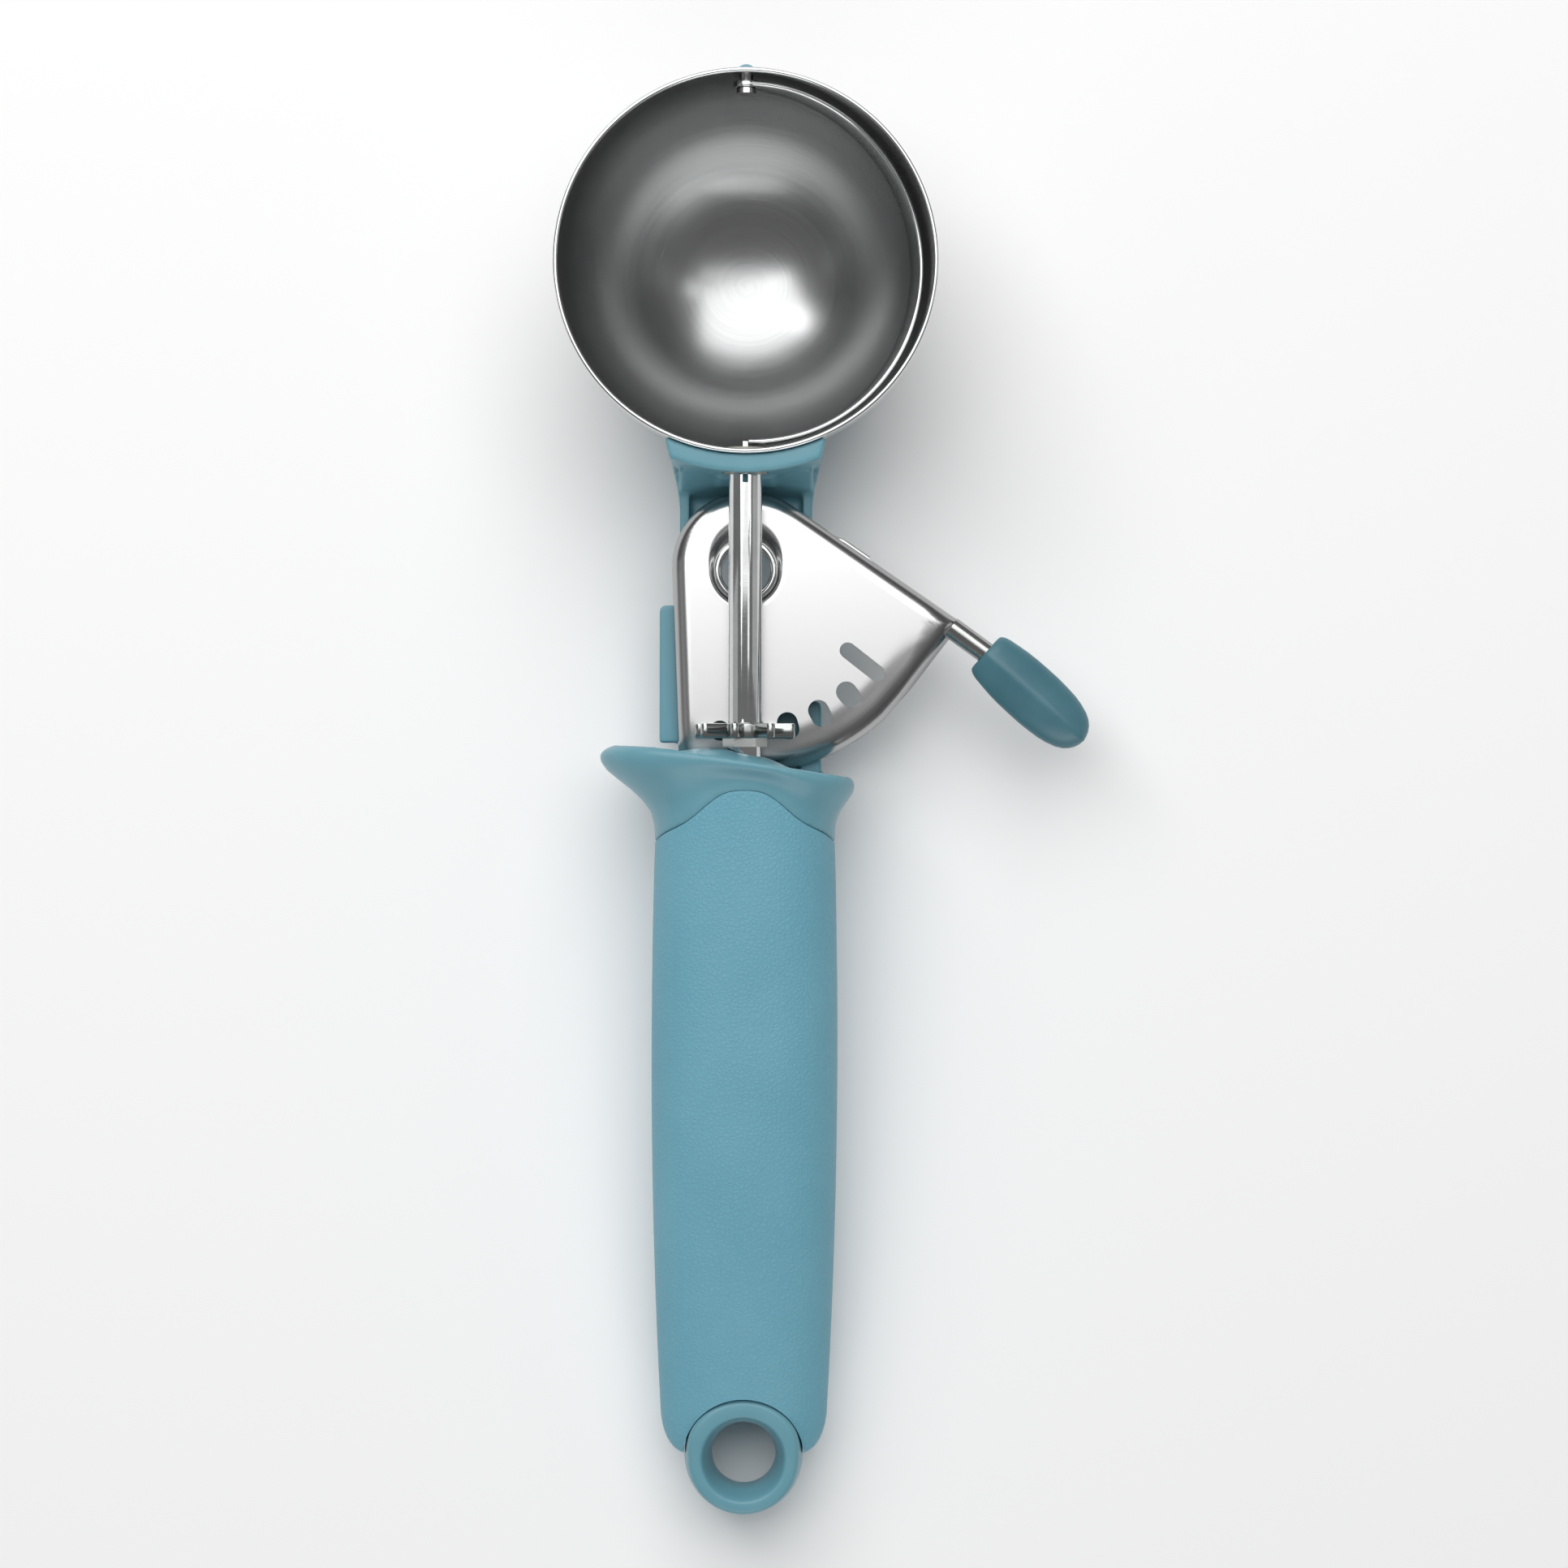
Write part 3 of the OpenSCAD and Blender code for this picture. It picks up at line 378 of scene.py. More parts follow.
def loft(rings, closed=False):
    """A skin through rings of equal length, capped at both ends or closed on itself."""
    rows, cols = len(rings), len(rings[0])
    points = [p for ring in rings for p in ring]
    faces = []
    for j in range(rows if closed else rows - 1):
        k = (j + 1) % rows
        for i in range(cols):
            n = (i + 1) % cols
            faces.append((j * cols + i, j * cols + n, k * cols + n, k * cols + i))
    if not closed:
        for row in (0, rows - 1):
            hub = len(points)
            points.append(tuple(np.mean([rings[row][i] for i in range(cols)], axis=0)))
            for i in range(cols):
                faces.append((row * cols + i, row * cols + (i + 1) % cols, hub))
    return mesh_of(points, faces)


def lathe(profile, steps=96, closed=True):
    """Turns a profile of (radius, height) round Z. A closed profile makes a ring."""
    rings = []
    for r, z in profile:
        rings.append([(max(r, 1e-5) * math.cos(math.tau * i / steps),
                       max(r, 1e-5) * math.sin(math.tau * i / steps), z) for i in range(steps)])
    return loft(rings, closed=closed)


def on_circle(cx, cy, r, angle):
    a = math.radians(angle)
    return cx + r * math.cos(a), cy + r * math.sin(a)


def arc(cx, cy, r, start, stop, steps=8):
    return [on_circle(cx, cy, r, start + (stop - start) * i / steps) for i in range(steps + 1)]


def eased(share):
    """A share cut to 0..1, with a soft start and a soft end."""
    share = min(1.0, max(0.0, share))
    return share * share * (3 - 2 * share)


def along_y(y, z=0.0):
    return Matrix.Translation((0, y, z)) @ Matrix.Rotation(-math.pi / 2, 4, "X")


def at_pivot(z=0.0):
    return Matrix.Translation((0, PIVOT_Y, z))


def block(x0, x1, y0, y1, z0, z1):
    points = [(x, y, z) for x in (x0, x1) for y in (y0, y1) for z in (z0, z1)]
    faces = [(0, 1, 3, 2), (4, 6, 7, 5), (0, 4, 5, 1), (2, 3, 7, 6), (0, 2, 6, 4), (1, 5, 7, 3)]
    return mesh_of(points, faces)


def joined(*meshes):
    work = bmesh.new()
    for mesh in meshes:
        work.from_mesh(mesh)
    whole = bpy.data.meshes.new("joined")
    work.to_mesh(whole)
    work.free()
    return whole


def taken(holder):
    """The holder's mesh after its modifiers. The holder goes."""
    bpy.context.view_layer.update()
    done = bpy.data.meshes.new_from_object(
        holder.evaluated_get(bpy.context.evaluated_depsgraph_get()))
    bpy.data.objects.remove(holder)
    return done


def worked(mesh, *modifiers):
    """The mesh after a row of modifiers, each given as (type, settings)."""
    holder = linked("bench", mesh)
    for kind, settings in modifiers:
        step = holder.modifiers.new(kind.lower(), kind)
        for key, value in settings.items():
            setattr(step, key, value)
    return taken(holder)


def cut(mesh, *tools):
    """Takes the tool meshes away from the mesh."""
    cutter = linked("cutter", joined(*tools))
    done = worked(mesh, ("BOOLEAN", {
        "operation": "DIFFERENCE", "object": cutter, "solver": "EXACT", "use_self": len(tools) > 1}))
    bpy.data.objects.remove(cutter)
    return done


class Form(Nodes):
    """A Geometry Nodes tree with named inputs, which grows into one painted mesh."""

    KINDS = {int: "NodeSocketInt", float: "NodeSocketFloat", bpy.types.Object: "NodeSocketObject"}

    def __init__(self, name, inputs):
        super().__init__(bpy.data.node_groups.new(name, "GeometryNodeTree"))
        face = self.tree.interface
        self.values = {}
        for label, value in inputs.items():
            socket = face.new_socket(label, in_out="INPUT", socket_type=self.KINDS[type(value)])
            self.values[socket.identifier] = value
        face.new_socket("Geometry", in_out="OUTPUT", socket_type="NodeSocketGeometry")
        entry = self.tree.nodes.new("NodeGroupInput")
        self.inputs = [Strand(self, entry.outputs[label]) for label in inputs]

    def grow(self, geometry, finish):
        plain = self.add("GeometryNodeRealizeInstances", None, {"Geometry": geometry})
        painted = self.add("GeometryNodeSetMaterial", None, {
            "Geometry": plain, "Material": FINISH[finish]})
        self.tree.links.new(painted.socket, self.tree.nodes.new("NodeGroupOutput").inputs[0])
        holder = linked("bench", bpy.data.meshes.new("bench"))
        step = holder.modifiers.new("grow", "NODES")
        step.node_group = self.tree
        for key, value in self.values.items():
            step[key] = value
        done = taken(holder)
        tidy_normals(done)
        return done


# Shapes of the grip and the collar
def grip_width(y):
    """Half the grip's width: a belly, and a round tail down to the ring."""
    if y > BELLY_Y:
        return GRIP_HALF - UPPER_TAPER * ((y - BELLY_Y) / (GRIP_LEN - BELLY_Y)) ** 2
    wide = GRIP_HALF - LOWER_TAPER * ((BELLY_Y - max(y, TAIL_ROUND)) / BELLY_Y) ** 2
    if y >= TAIL_ROUND:
        return wide
    low = RING_R + 0.1
    down = (TAIL_ROUND - y) / (TAIL_ROUND - GRIP_FOOT)
    return low + (wide - low) * math.sqrt(max(0.0, 1 - down ** 2))


def grip_depth(y):
    if y > BELLY_Y:
        return GRIP_DEPTH
    return GRIP_DEPTH - (GRIP_DEPTH - TAIL_DEPTH) * ((BELLY_Y - y) / BELLY_Y) ** 2


def signed_power(v):
    return math.copysign(abs(v) ** (2 / SQUARENESS), v)


def section(i, steps, left, right, depth):
    """Point i of a squarish oval with a flat back."""
    a = math.tau * (i + 0.5) / steps
    x = signed_power(math.cos(a)) * (left if math.cos(a) < 0 else right)
    return x, max(signed_power(math.sin(a)) * depth, -depth + GRIP_FLAT)


def seam_y(x):
    """The seam of grip and collar, with a tongue in the middle and a drop at the sides."""
    return (SEAM_Y + TONGUE * math.exp(-(abs(x) / TONGUE_HALF) ** 2.8)
            - SEAM_DROP * (abs(x) / UPPER_HALF) ** 8)


def crest_y(x):
    """The collar's sloping upper lip."""
    return LIP_Y - LIP_SLOPE * x - LIP_SAG * (max(0.0, -x - LIP_SAG_FROM) / LIP_SAG_RUN) ** 2


def grip_skin():
    """Sleeve from the ring's space to the seam."""
    steps, ring_clear, far = 128, RING_R + 0.13, 40
    rows = [0.35, 0.5, 0.8, 1.2, 1.8, 2.6, 3.6, 4.8, 6.2]
    rows += [TAIL_ROUND + (GRIP_LEN - 3 - TAIL_ROUND) * i / 60 for i in range(61)]
    rings = [[(0, 0, 0)] * steps for _ in range(len(rows) + 5)]
    for j, y in enumerate(rows):
        w, d = grip_width(y), grip_depth(y)
        for i in range(steps):
            x, z = section(i, steps, w, w, d)
            rings[j][i] = (x, y, z)
    # the seam's edge turns in round a small radius
    edge = [(0.0, 0.40), (0.0, 0.2), (0.03, 0.08), (0.12, 0.01), (0.5, 0.0)]
    for k, (tuck, back) in enumerate(edge):
        for i in range(steps):
            x, z = section(i, steps, UPPER_HALF, UPPER_HALF, GRIP_DEPTH)
            keep = 1 - tuck / GRIP_DEPTH
            rings[len(rows) + k][i] = (x * keep, seam_y(x) - 0.05 - back, z * keep)
    ring_space = lathe([(0, -far), (ring_clear, -far), (ring_clear, far), (0, far)], 144, closed=False)
    return cut(loft(rings), ring_space)


# How far the collar has spread, by share of its height
FLARE = [(0, 0), (0.1, 0.005), (0.2, 0.02), (0.32, 0.08), (0.43, 0.22), (0.55, 0.45),
         (0.65, 0.68), (0.74, 0.87), (0.82, 0.97), (0.88, 1.0), (0.93, 0.97), (0.97, 0.88),
         (1.0, 0.74)]


def collar_skin():
    """Collar that spreads from the seam to its horned lip and dips inside it."""
    steps = 128
    rings = []
    share = FLARE[-1][1]
    stages = [(0.0, 0.0, 0.1, 0.0)] + [(t, s, 0.0, 0.0) for t, s in FLARE]
    stages += [(1.0, share, 0.6, 0.1), (1.0, share, 1.3, 0.6), (1.0, share, 2.4, 1.4)]
    for t, s, inset, sink in stages:
        ring = []
        for i in range(steps):
            x0, _ = section(i, steps, UPPER_HALF, UPPER_HALF, GRIP_DEPTH)
            x1, z1 = section(i, steps, UPPER_HALF + s * HORN_LEFT - inset,
                             UPPER_HALF + s * HORN_RIGHT - inset,
                             GRIP_DEPTH + s * LIP_FRONT - inset)
            y0 = seam_y(x0)
            crest = crest_y(x1) - sink
            ring.append((x1, y0 + (crest - y0) * t, z1))
        rings.append(ring)
    return loft(rings)


def dome_skin():
    """Low dome on the collar that the shaft enters, square to the collar's sloping lip."""
    ball, rim, foot, edge, steps = 27.0, 10.9, -3.5, -2.6, 14
    middle, shallow = (-1.4, BOSS_TOP + 0.1, 3.6), 0.76
    rise = math.degrees(math.asin((rim - 0.25) / ball))
    profile = [(0.0, foot), (rim, foot), (rim, edge)] + arc(0, -ball, ball, 90 - rise, 90, steps)
    mesh = lathe(profile, 96, closed=False)
    mesh.transform(Matrix.Translation(middle) @ Matrix.Rotation(-math.atan(LIP_SLOPE), 4, "Z")
                   @ Matrix.Rotation(-math.pi / 2, 4, "X") @ Matrix.Diagonal((1.0, shallow, 1.0, 1.0)))
    return cut(mesh, sector_room(), shaft_bore())


def sector_room():
    """The space that the sector sweeps through."""
    free = 0.8
    low, high, reach = SECTOR_FRONT - FLANGE - free, SECTOR_FRONT + free, SECTOR_R + free
    room = lathe([(0, low), (reach, low), (reach, high), (0, high)], 256, closed=False)
    room.transform(at_pivot())
    return room


def shaft_bore():
    """The lower bush's pocket and the wider passage above it."""
    pocket, passage, top = BUSH_R + SEAT_GAP, SHAFT_R + 0.4, 18
    bore = lathe([(0, 0), (pocket, 0), (pocket, BUSH_LEN), (passage, BUSH_LEN), (passage, top), (0, top)],
                 64, closed=False)
    bore.transform(along_y(BUSH_LOW, SHAFT_Z))
    return bore


def core_skin():
    """Collar, neck and yoke as one moulding with soft edges."""
    rough = frame["nodes"]["handle_core"].data.copy()
    rough.transform(LAY.inverted())
    tidy_normals(rough, 1e-3)
    work = bmesh.new()
    work.from_mesh(rough)
    parted = bmesh.ops.bisect_plane(
        work, geom=work.verts[:] + work.edges[:] + work.faces[:],
        plane_co=(0, NECK_CUT, 0), plane_no=(0, -1, 0), clear_outer=True)
    open_edges = [e for e in parted["geom_cut"] if isinstance(e, bmesh.types.BMEdge)]
    bmesh.ops.triangle_fill(work, edges=open_edges, use_beauty=True)
    neck = bpy.data.meshes.new("neck")
    work.to_mesh(neck)
    work.free()
    tidy_normals(neck, 1e-3)
    collar = cut(collar_skin(), sector_room(), shaft_bore())
    # floor, two side walls and two tabs carry the neck down into the collar
    high, w, rib = NECK_CUT + NECK_LAP, NECK_HALF, FLOOR_TOP + RIB_H
    whole = joined(
        collar, neck,
        block(-w, w, NECK_LOW, high, FLOOR_BACK, FLOOR_TOP),
        block(-w, RIB_T - w, NECK_LOW, high, FLOOR_BACK, rib),
        block(w - RIB_T, w, NECK_LOW, high, FLOOR_BACK, rib),
        block(-w - LEFT_TAB_OUT, TAB_T - w, LEFT_TAB_Y, high, FLOOR_BACK, rib),
        block(w - TAB_T, w + RIGHT_TAB_OUT, RIGHT_TAB_Y, high, FLOOR_BACK, rib))
    return worked(whole,
                  ("REMESH", {"mode": "VOXEL", "voxel_size": 0.36, "use_smooth_shade": True}),
                  ("SMOOTH", {"factor": 0.5, "iterations": 5}))


# Half profiles of the ring as (radius, height): free outside, outside by the grip, and the mouth
RING_FREE = [(RING_R, 0), (9.58, 1.5), (9.5, 3.0), (9.36, 4.2), (9.15, 5.5), (8.96, 6.5), (8.82, 6.95),
             (8.6, 7.25), (8.3, 7.43), (8.0, RING_HALF)]
RING_HELD = [(RING_R, 0), (RING_R, 1.5), (RING_R, 3.0), (RING_R, 4.2), (RING_R, 5.5), (RING_R, 6.5),
             (9.52, 6.95), (9.3, 7.25), (9.0, 7.43), (8.7, RING_HALF)]
RING_MOUTH = [(7.2, RING_HALF), (6.95, 7.46), (6.75, 7.3), (6.5, 6.9), (6.2, 6.2), (5.9, 5.2),
              (5.6, 4.0), (5.35, 2.7), (HANG_R, HANG_HALF)]


def ring_skin():
    """Loop that is barrel-shaped outside, and fuller where it meets the grip."""
    steps, back_depth, early, run = 144, 0.985, 0.05, 0.6
    around = []
    for k in range(steps):
        turn = math.tau * k / steps
        full = eased((math.sin(turn) + early) / run)
        outside = [(a[0] + (b[0] - a[0]) * full, a[1]) for a, b in zip(RING_FREE, RING_HELD)]
        upper = outside + RING_MOUTH
        profile = upper + [(r, -back_depth * z) for r, z in reversed(upper[1:])]
        around.append([(r * math.cos(turn), r * math.sin(turn), z) for r, z in profile])
    return loft(around, closed=True)


# Shapes of the bowl and the scraper
def bowl_skin():
    """The bowl's wall is one rule: an arc in, the rim's round and an arc out, turned round."""
    g = Form("bowl_wall", {"Radius": BOWL_R, "Wall": BOWL_WALL, "Rise": RIM_RISE})
    radius, wall, rise = g.inputs
    rows, cols = 161, 289
    grid = g.add("GeometryNodeMeshGrid", None, {
        "Size X": 1.0, "Size Y": 1.0, "Vertices X": rows, "Vertices Y": cols})
    spot = g.add("GeometryNodeInputPosition")
    parts = g.add("ShaderNodeSeparateXYZ", None, {0: spot}).socket.node
    u = (Strand(g, parts.outputs[0]) + 0.5) * 5.0
    v = (Strand(g, parts.outputs[1]) + 0.5) * math.tau
    t = [(u - k).clip() for k in range(5)]
    inner = radius - wall
    quarter = math.pi / 2
    reach = (inner * (t[0] * quarter).sine()
             + wall * 0.5 * (1.0 - (t[2] * math.pi + quarter).sine())
             + radius * ((t[4] * quarter + quarter).sine() - 1.0))
    height = (rise * (t[1] - t[3]) - inner * (t[0] * quarter + quarter).sine()
              + wall * 0.5 * (t[2] * math.pi).sine() - radius * (t[4] * quarter).sine())
    placed = g.add("ShaderNodeCombineXYZ", None, {
        0: reach * (v + quarter).sine(), 1: reach * v.sine(), 2: height})
    bent = g.add("GeometryNodeSetPosition", None, {"Geometry": grid, "Position": placed})
    whole = g.add("GeometryNodeMergeByDistance", None, {"Geometry": bent, "Distance": 0.0005})
    return g.grow(whole, "bowl")


def blade_skin():
    """Bent strip with rounded long edges, the ear for the pin and the tang for the shaft."""
    outer = BOWL_R - BOWL_WALL - BLADE_GAP
    inner, soft, widen = outer - BLADE_T, BLADE_T / 2, 14
    rings = []
    for k in range(181):
        turn = -90 + k
        a = math.radians(turn)
        half = EAR_R + (BLADE_W / 2 - EAR_R) * eased((90 - abs(turn)) / widen)
        edge = arc(inner + soft, half - soft, soft, 0, 180, 8)
        edge += [(r, -z) for r, z in reversed(edge)]
        rings.append([(r * math.cos(a), r * math.sin(a), z) for r, z in edge])
    strip = loft(rings)
    strip.transform(Matrix.Rotation(math.radians(BLADE_REST), 4, "Y"))
    ear_t, edge_r = BLADE_T / 2 + 0.15, 0.25
    disc = arc(EAR_R - edge_r, ear_t - edge_r, edge_r, 0, 90, 4)
    ear = lathe([(0, ear_t)] + list(reversed(disc)) + [(r, -z) for r, z in disc] + [(0, -ear_t)],
                48, closed=False)
    ear.transform(along_y(inner + soft))
    tang_half, tang_out, tang_lap = SHAFT_R - RUN_GAP, 4.8, 0.4
    tang = block(-soft, soft, -outer - tang_out, -outer + tang_lap, -tang_half, tang_half)
    whole = joined(strip, tang, ear)
    whole.transform(Matrix.Translation((0, BOWL_Y, SHAFT_Z)))
    return whole


def shaft_skin():
    """Tube with rounded ends and the notch that takes the blade's tang."""
    inner, soft = SHAFT_R - SHAFT_WALL, 0.2
    foot = arc(inner + soft, soft, soft, 180, 270, 4) + arc(SHAFT_R - soft, soft, soft, 270, 360, 4)
    tube = lathe(foot + [(p, SHAFT_HIGH - SHAFT_LOW - z) for p, z in reversed(foot)], 96)
    tube.transform(along_y(SHAFT_LOW, SHAFT_Z))
    half, low, through = BLADE_T / 2 + RUN_GAP, BOWL_Y - BOWL_R - 4.5, 5
    notch = block(-half, half, low, SHAFT_HIGH + 2, SHAFT_Z - through, SHAFT_Z + through)
    return cut(tube, notch)


def finger_form():
    """One finger along X, from inside the hub to its round tip."""
    round_r, root, half = FINGER_W / 2, 2.4, WHEEL_T / 2
    reach = FINGER_TIP - round_r
    outline = [(root, -round_r)] + arc(reach, 0, round_r, -90, 90, 12) + [(root, round_r)]
    rings = []
    for inset, z in ((0.35, -half), (0.1, -half + 0.08), (0.0, -half + 0.3),
                     (0.0, half - 0.3), (0.1, half - 0.08), (0.35, half)):
        keep = 1 - inset / round_r
        rings.append([((x - reach) * keep + reach if x > reach else x, y * keep, z)
                      for x, y in outline])
    return loft(rings)


def star_wheel_skin():
    """Fingers set round a hub by the tree, as many as the wheel has."""
    holder = linked("finger_form", finger_form())
    back = math.radians(90 - SLOT_FIRST * 360 / FINGERS / SLOT_STEP)
    g = Form("finger_row", {"Fingers": FINGERS, "Start angle": back, "Finger": holder})
    number, first, finger = g.inputs
    row = g.add("GeometryNodeMeshLine", {"mode": "OFFSET"}, {"Count": number, "Offset": (0, 0, 0)})
    spots = g.add("GeometryNodeMeshToPoints", None, {"Mesh": row})
    index = g.add("GeometryNodeInputIndex")
    angle = index * math.tau / number + first
    turn = g.add("FunctionNodeEulerToRotation", None, {
        0: g.add("ShaderNodeCombineXYZ", None, {0: 0.0, 1: 0.0, 2: angle})})
    shape = g.add("GeometryNodeObjectInfo", None, {"Object": finger}, "Geometry")
    many = g.add("GeometryNodeInstanceOnPoints", None, {
        "Points": spots, "Instance": shape, "Rotation": turn})
    fingers = g.grow(many, "wheel")
    bpy.data.objects.remove(holder)
    hub_r, soft, half, bore = 3.9, 0.25, WHEEL_T / 2, SHAFT_R + SEAT_GAP
    corner = arc(hub_r - soft, half - soft, soft, 90, 0, 4)
    hub = [(bore, half)] + corner + [(r, -z) for r, z in reversed(corner)] + [(bore, -half)]
    return joined(fingers, lathe(hub, 72))


# Shapes of the lever
def sector_outline():
    """Corner points of the stamping, each with its rounding radius."""
    crown = arc(CROWN_X, CROWN_Y, CROWN_R, CROWN_END, CROWN_END + CROWN_SWEEP, 32)
    edge = arc(0, 0, SECTOR_R, EDGE_START, EDGE_STOP, 24)
    corners = [(p, 0) for p in crown + [FOOT_CORNER] + edge]
    corners += [(TIP_LOW, TIP_LOW_ROUND), (TIP_CORNER, TIP_ROUND)]
    points = []
    n = len(corners)
    for k, (p, r) in enumerate(corners):
        if not r:
            points.append(p)
            continue
        a, b = Vector(corners[k - 1][0]), Vector(corners[(k + 1) % n][0])
        c = Vector(p)
        to_a, to_b = (a - c).normalized(), (b - c).normalized()
        half = to_a.angle(to_b) / 2
        back = min(r / math.tan(half), 0.45 * (a - c).length, 0.45 * (b - c).length)
        start, stop = c + to_a * back, c + to_b * back
        for q in range(7):
            s = q / 6
            points.append(tuple((1 - s) ** 2 * start + 2 * s * (1 - s) * c + s * s * stop))
    return np.array(points)


def inset_reach(outline, angles, inset):
    """Distance from the pivot to the outline moved inwards, along each angle."""
    nxt = np.roll(outline, -1, axis=0)
    side = nxt - outline
    normal = np.stack([side[:, 1], -side[:, 0]], axis=1)
    normal /= np.linalg.norm(normal, axis=1)[:, None]
    depth = (normal * outline).sum(axis=1)
    if depth.mean() < 0:
        normal, depth = -normal, -depth
    ray = np.stack([np.cos(angles), np.sin(angles)], axis=1)
    facing = ray @ normal.T
    reach = np.where(facing > 1e-6, (depth[None, :] - inset) / np.maximum(facing, 1e-6), 1e9)
    return reach.min(axis=1)


def sector_skin():
    """The stamping as one sheet, front and back round its bent edge, with its slots cut."""
    outline = sector_outline()
    steps, flat_rows, dish_rows, bend_rows = 600, 36, 12, 9
    dish_low, dish_more = DISH_R - 0.3, 2.4
    angles = np.arange(steps) * math.tau / steps
    ray = np.stack([np.cos(angles), np.sin(angles)], axis=1)
    back = SECTOR_FRONT - FLANGE
    seat_r, hub_r = RIVET_HEAD, RIVET_BORE + RIVET_WALL

    def face(level, bend, outer):
        """One side of the sheet from the rivet's hole to its bent edge."""
        side = [(np.full(steps, hub_r), level - DISH)]
        # the dish round the rivet reaches further on the crown's side
        dish = dish_low + dish_more * np.maximum(np.sin(angles), 0.0) ** 1.5
        for k in range(dish_rows + 1):
            share = k / dish_rows
            side.append((seat_r + (dish - seat_r) * share, level - DISH * (1 - eased(share))))
        flat = inset_reach(outline, angles, BEND_R)
        for k in range(1, flat_rows + 1):
            side.append((dish + (flat - dish) * k / flat_rows, level))
        for k in range(1, bend_rows + 1):
            a = math.pi / 2 * k / bend_rows
            side.append((inset_reach(outline, angles, BEND_R - bend * math.sin(a)),
                         level - bend * (1 - math.cos(a))))
        side.append((inset_reach(outline, angles, outer), back + 0.25))
        return side

    front = face(SECTOR_FRONT, BEND_R, 0.0)
    rear = face(SECTOR_FRONT - SHEET, BEND_R - SHEET, SHEET)
    lip = [(inset_reach(outline, angles, inset), back + up)
           for inset, up in ((0.08, 0.06), (0.25, 0.0), (SHEET - 0.25, 0.0), (SHEET - 0.08, 0.06))]
    rings = []
    for reach, z in front + lip + list(reversed(rear)):
        ring = [(x, y, z) for x, y in ray * reach[:, None]]
        if z > back + 0.5:
            ring = [(x, y, z - set_back(x, y)) for x, y, z in ring]
        rings.append(ring)
    mesh = loft(rings, closed=True)
    rest, last = SLOT_FIRST - SLOT_STEP, SLOT_FIRST + SLOTS * SLOT_STEP
    tools = [slot_tool(rest, SLOT_R + REST_HOLE_OUT, REST_HOLE_LEN, REST_HOLE_W)]
    tools += [slot_tool(SLOT_FIRST + k * SLOT_STEP, SLOT_R, SLOT_LEN, SLOT_W) for k in range(SLOTS)]
    tools.append(slot_tool(last, SLOT_R - LAST_SLOT_IN, LAST_SLOT_LEN, LAST_SLOT_W))
    done = cut(mesh, *tools, leg_notch())
    done.transform(at_pivot())
    return done


def set_back(x, y):
    """How far the sheet lies back past the crease at the tip, and down the low band."""
    crease_fall, crease_soft, band_fall, band_soft = 0.11, 0.7, 0.07, 1.5
    run_x, run_y = CREASE_A[0] - CREASE_B[0], CREASE_A[1] - CREASE_B[1]
    past = ((x - CREASE_A[0]) * run_y - (y - CREASE_A[1]) * run_x) / math.hypot(run_x, run_y)
    past = max(0.0, past)
    fade = eased((-0.30 * BAND_R - y) / (0.45 * BAND_R))
    low = max(0.0, (math.hypot(x, y) - BAND_R) * fade)
    return crease_fall * past * min(1.0, past / crease_soft) + band_fall * low * min(1.0, low / band_soft)


def slot_tool(angle, mid, length, width):
    r = width / 2
    run = (length - width) / 2
    outline = arc(mid + run, 0, r, -90, 90, 12) + arc(mid - run, 0, r, 90, 270, 12)
    mesh = loft([[(x, y, z) for x, y in outline] for z in (-8.0, 2.0)])
    mesh.transform(Matrix.Rotation(math.radians(angle - 90), 4, "Z"))
    return mesh


# The sector's upper straight edge, from the crown to the tip
EDGE_FROM = Vector(on_circle(CROWN_X, CROWN_Y, CROWN_R, CROWN_END))
EDGE_WAY = (Vector(TIP_CORNER) - EDGE_FROM).normalized()


def edge_point(s, out, z):
    """A point that lies s along the upper edge and out from it."""
    p = EDGE_FROM + s * EDGE_WAY + out * Vector((-EDGE_WAY.y, EDGE_WAY.x))
    return Vector((p.x, p.y, z))


def leg_notch():
    """The notch in the bent edge that the spring's leg passes through."""
    before, past, inwards, outwards, below, above = 2.8, 0.6, 1.6, 2.4, 5, 0.2
    mesh = block(LEG_BEND - before, LEG_END + past, -inwards, outwards,
                 SPRING_TOP - below, SPRING_TOP + WIRE / 2 + above)
    mesh.transform(Matrix.Translation((EDGE_FROM.x, EDGE_FROM.y, 0))
                   @ Matrix.Rotation(math.atan2(EDGE_WAY.y, EDGE_WAY.x), 4, "Z"))
    return mesh


TANG_AT = Vector((TIP_X - 1.6, -TIP_DROP - 0.15, SECTOR_FRONT - TANG_R - 0.02))


def tang_skin():
    """Round rod from under the sector's tip to inside the thumb piece."""
    long = TANG_LEN + TANG_ROOT + TANG_HELD
    mesh = lathe([(0, 0)] + [(TANG_R, 0.0), (TANG_R, long - 0.4), (TANG_R - 0.4, long), (0, long)],
                 64, closed=False)
    mesh.transform(at_pivot() @ Matrix.Translation(TANG_AT)
                   @ Matrix.Rotation(-math.radians(TANG_DROP), 4, "Z")
                   @ Matrix.Rotation(math.pi / 2, 4, "Y"))
    return mesh


# Width of the thumb piece as a share of its greatest, by share of its length
THUMB = [(0.0, 0.60), (0.004, 0.70), (0.015, 0.76), (0.04, 0.82), (0.08, 0.87), (0.16, 0.92),
         (0.24, 0.965), (0.33, 0.99), (0.43, 1.0), (0.54, 1.0), (0.64, 0.975), (0.73, 0.935),
         (0.80, 0.87), (0.87, 0.77), (0.92, 0.65), (0.955, 0.51), (0.98, 0.35), (0.993, 0.20),
         (1.0, 0.05)]


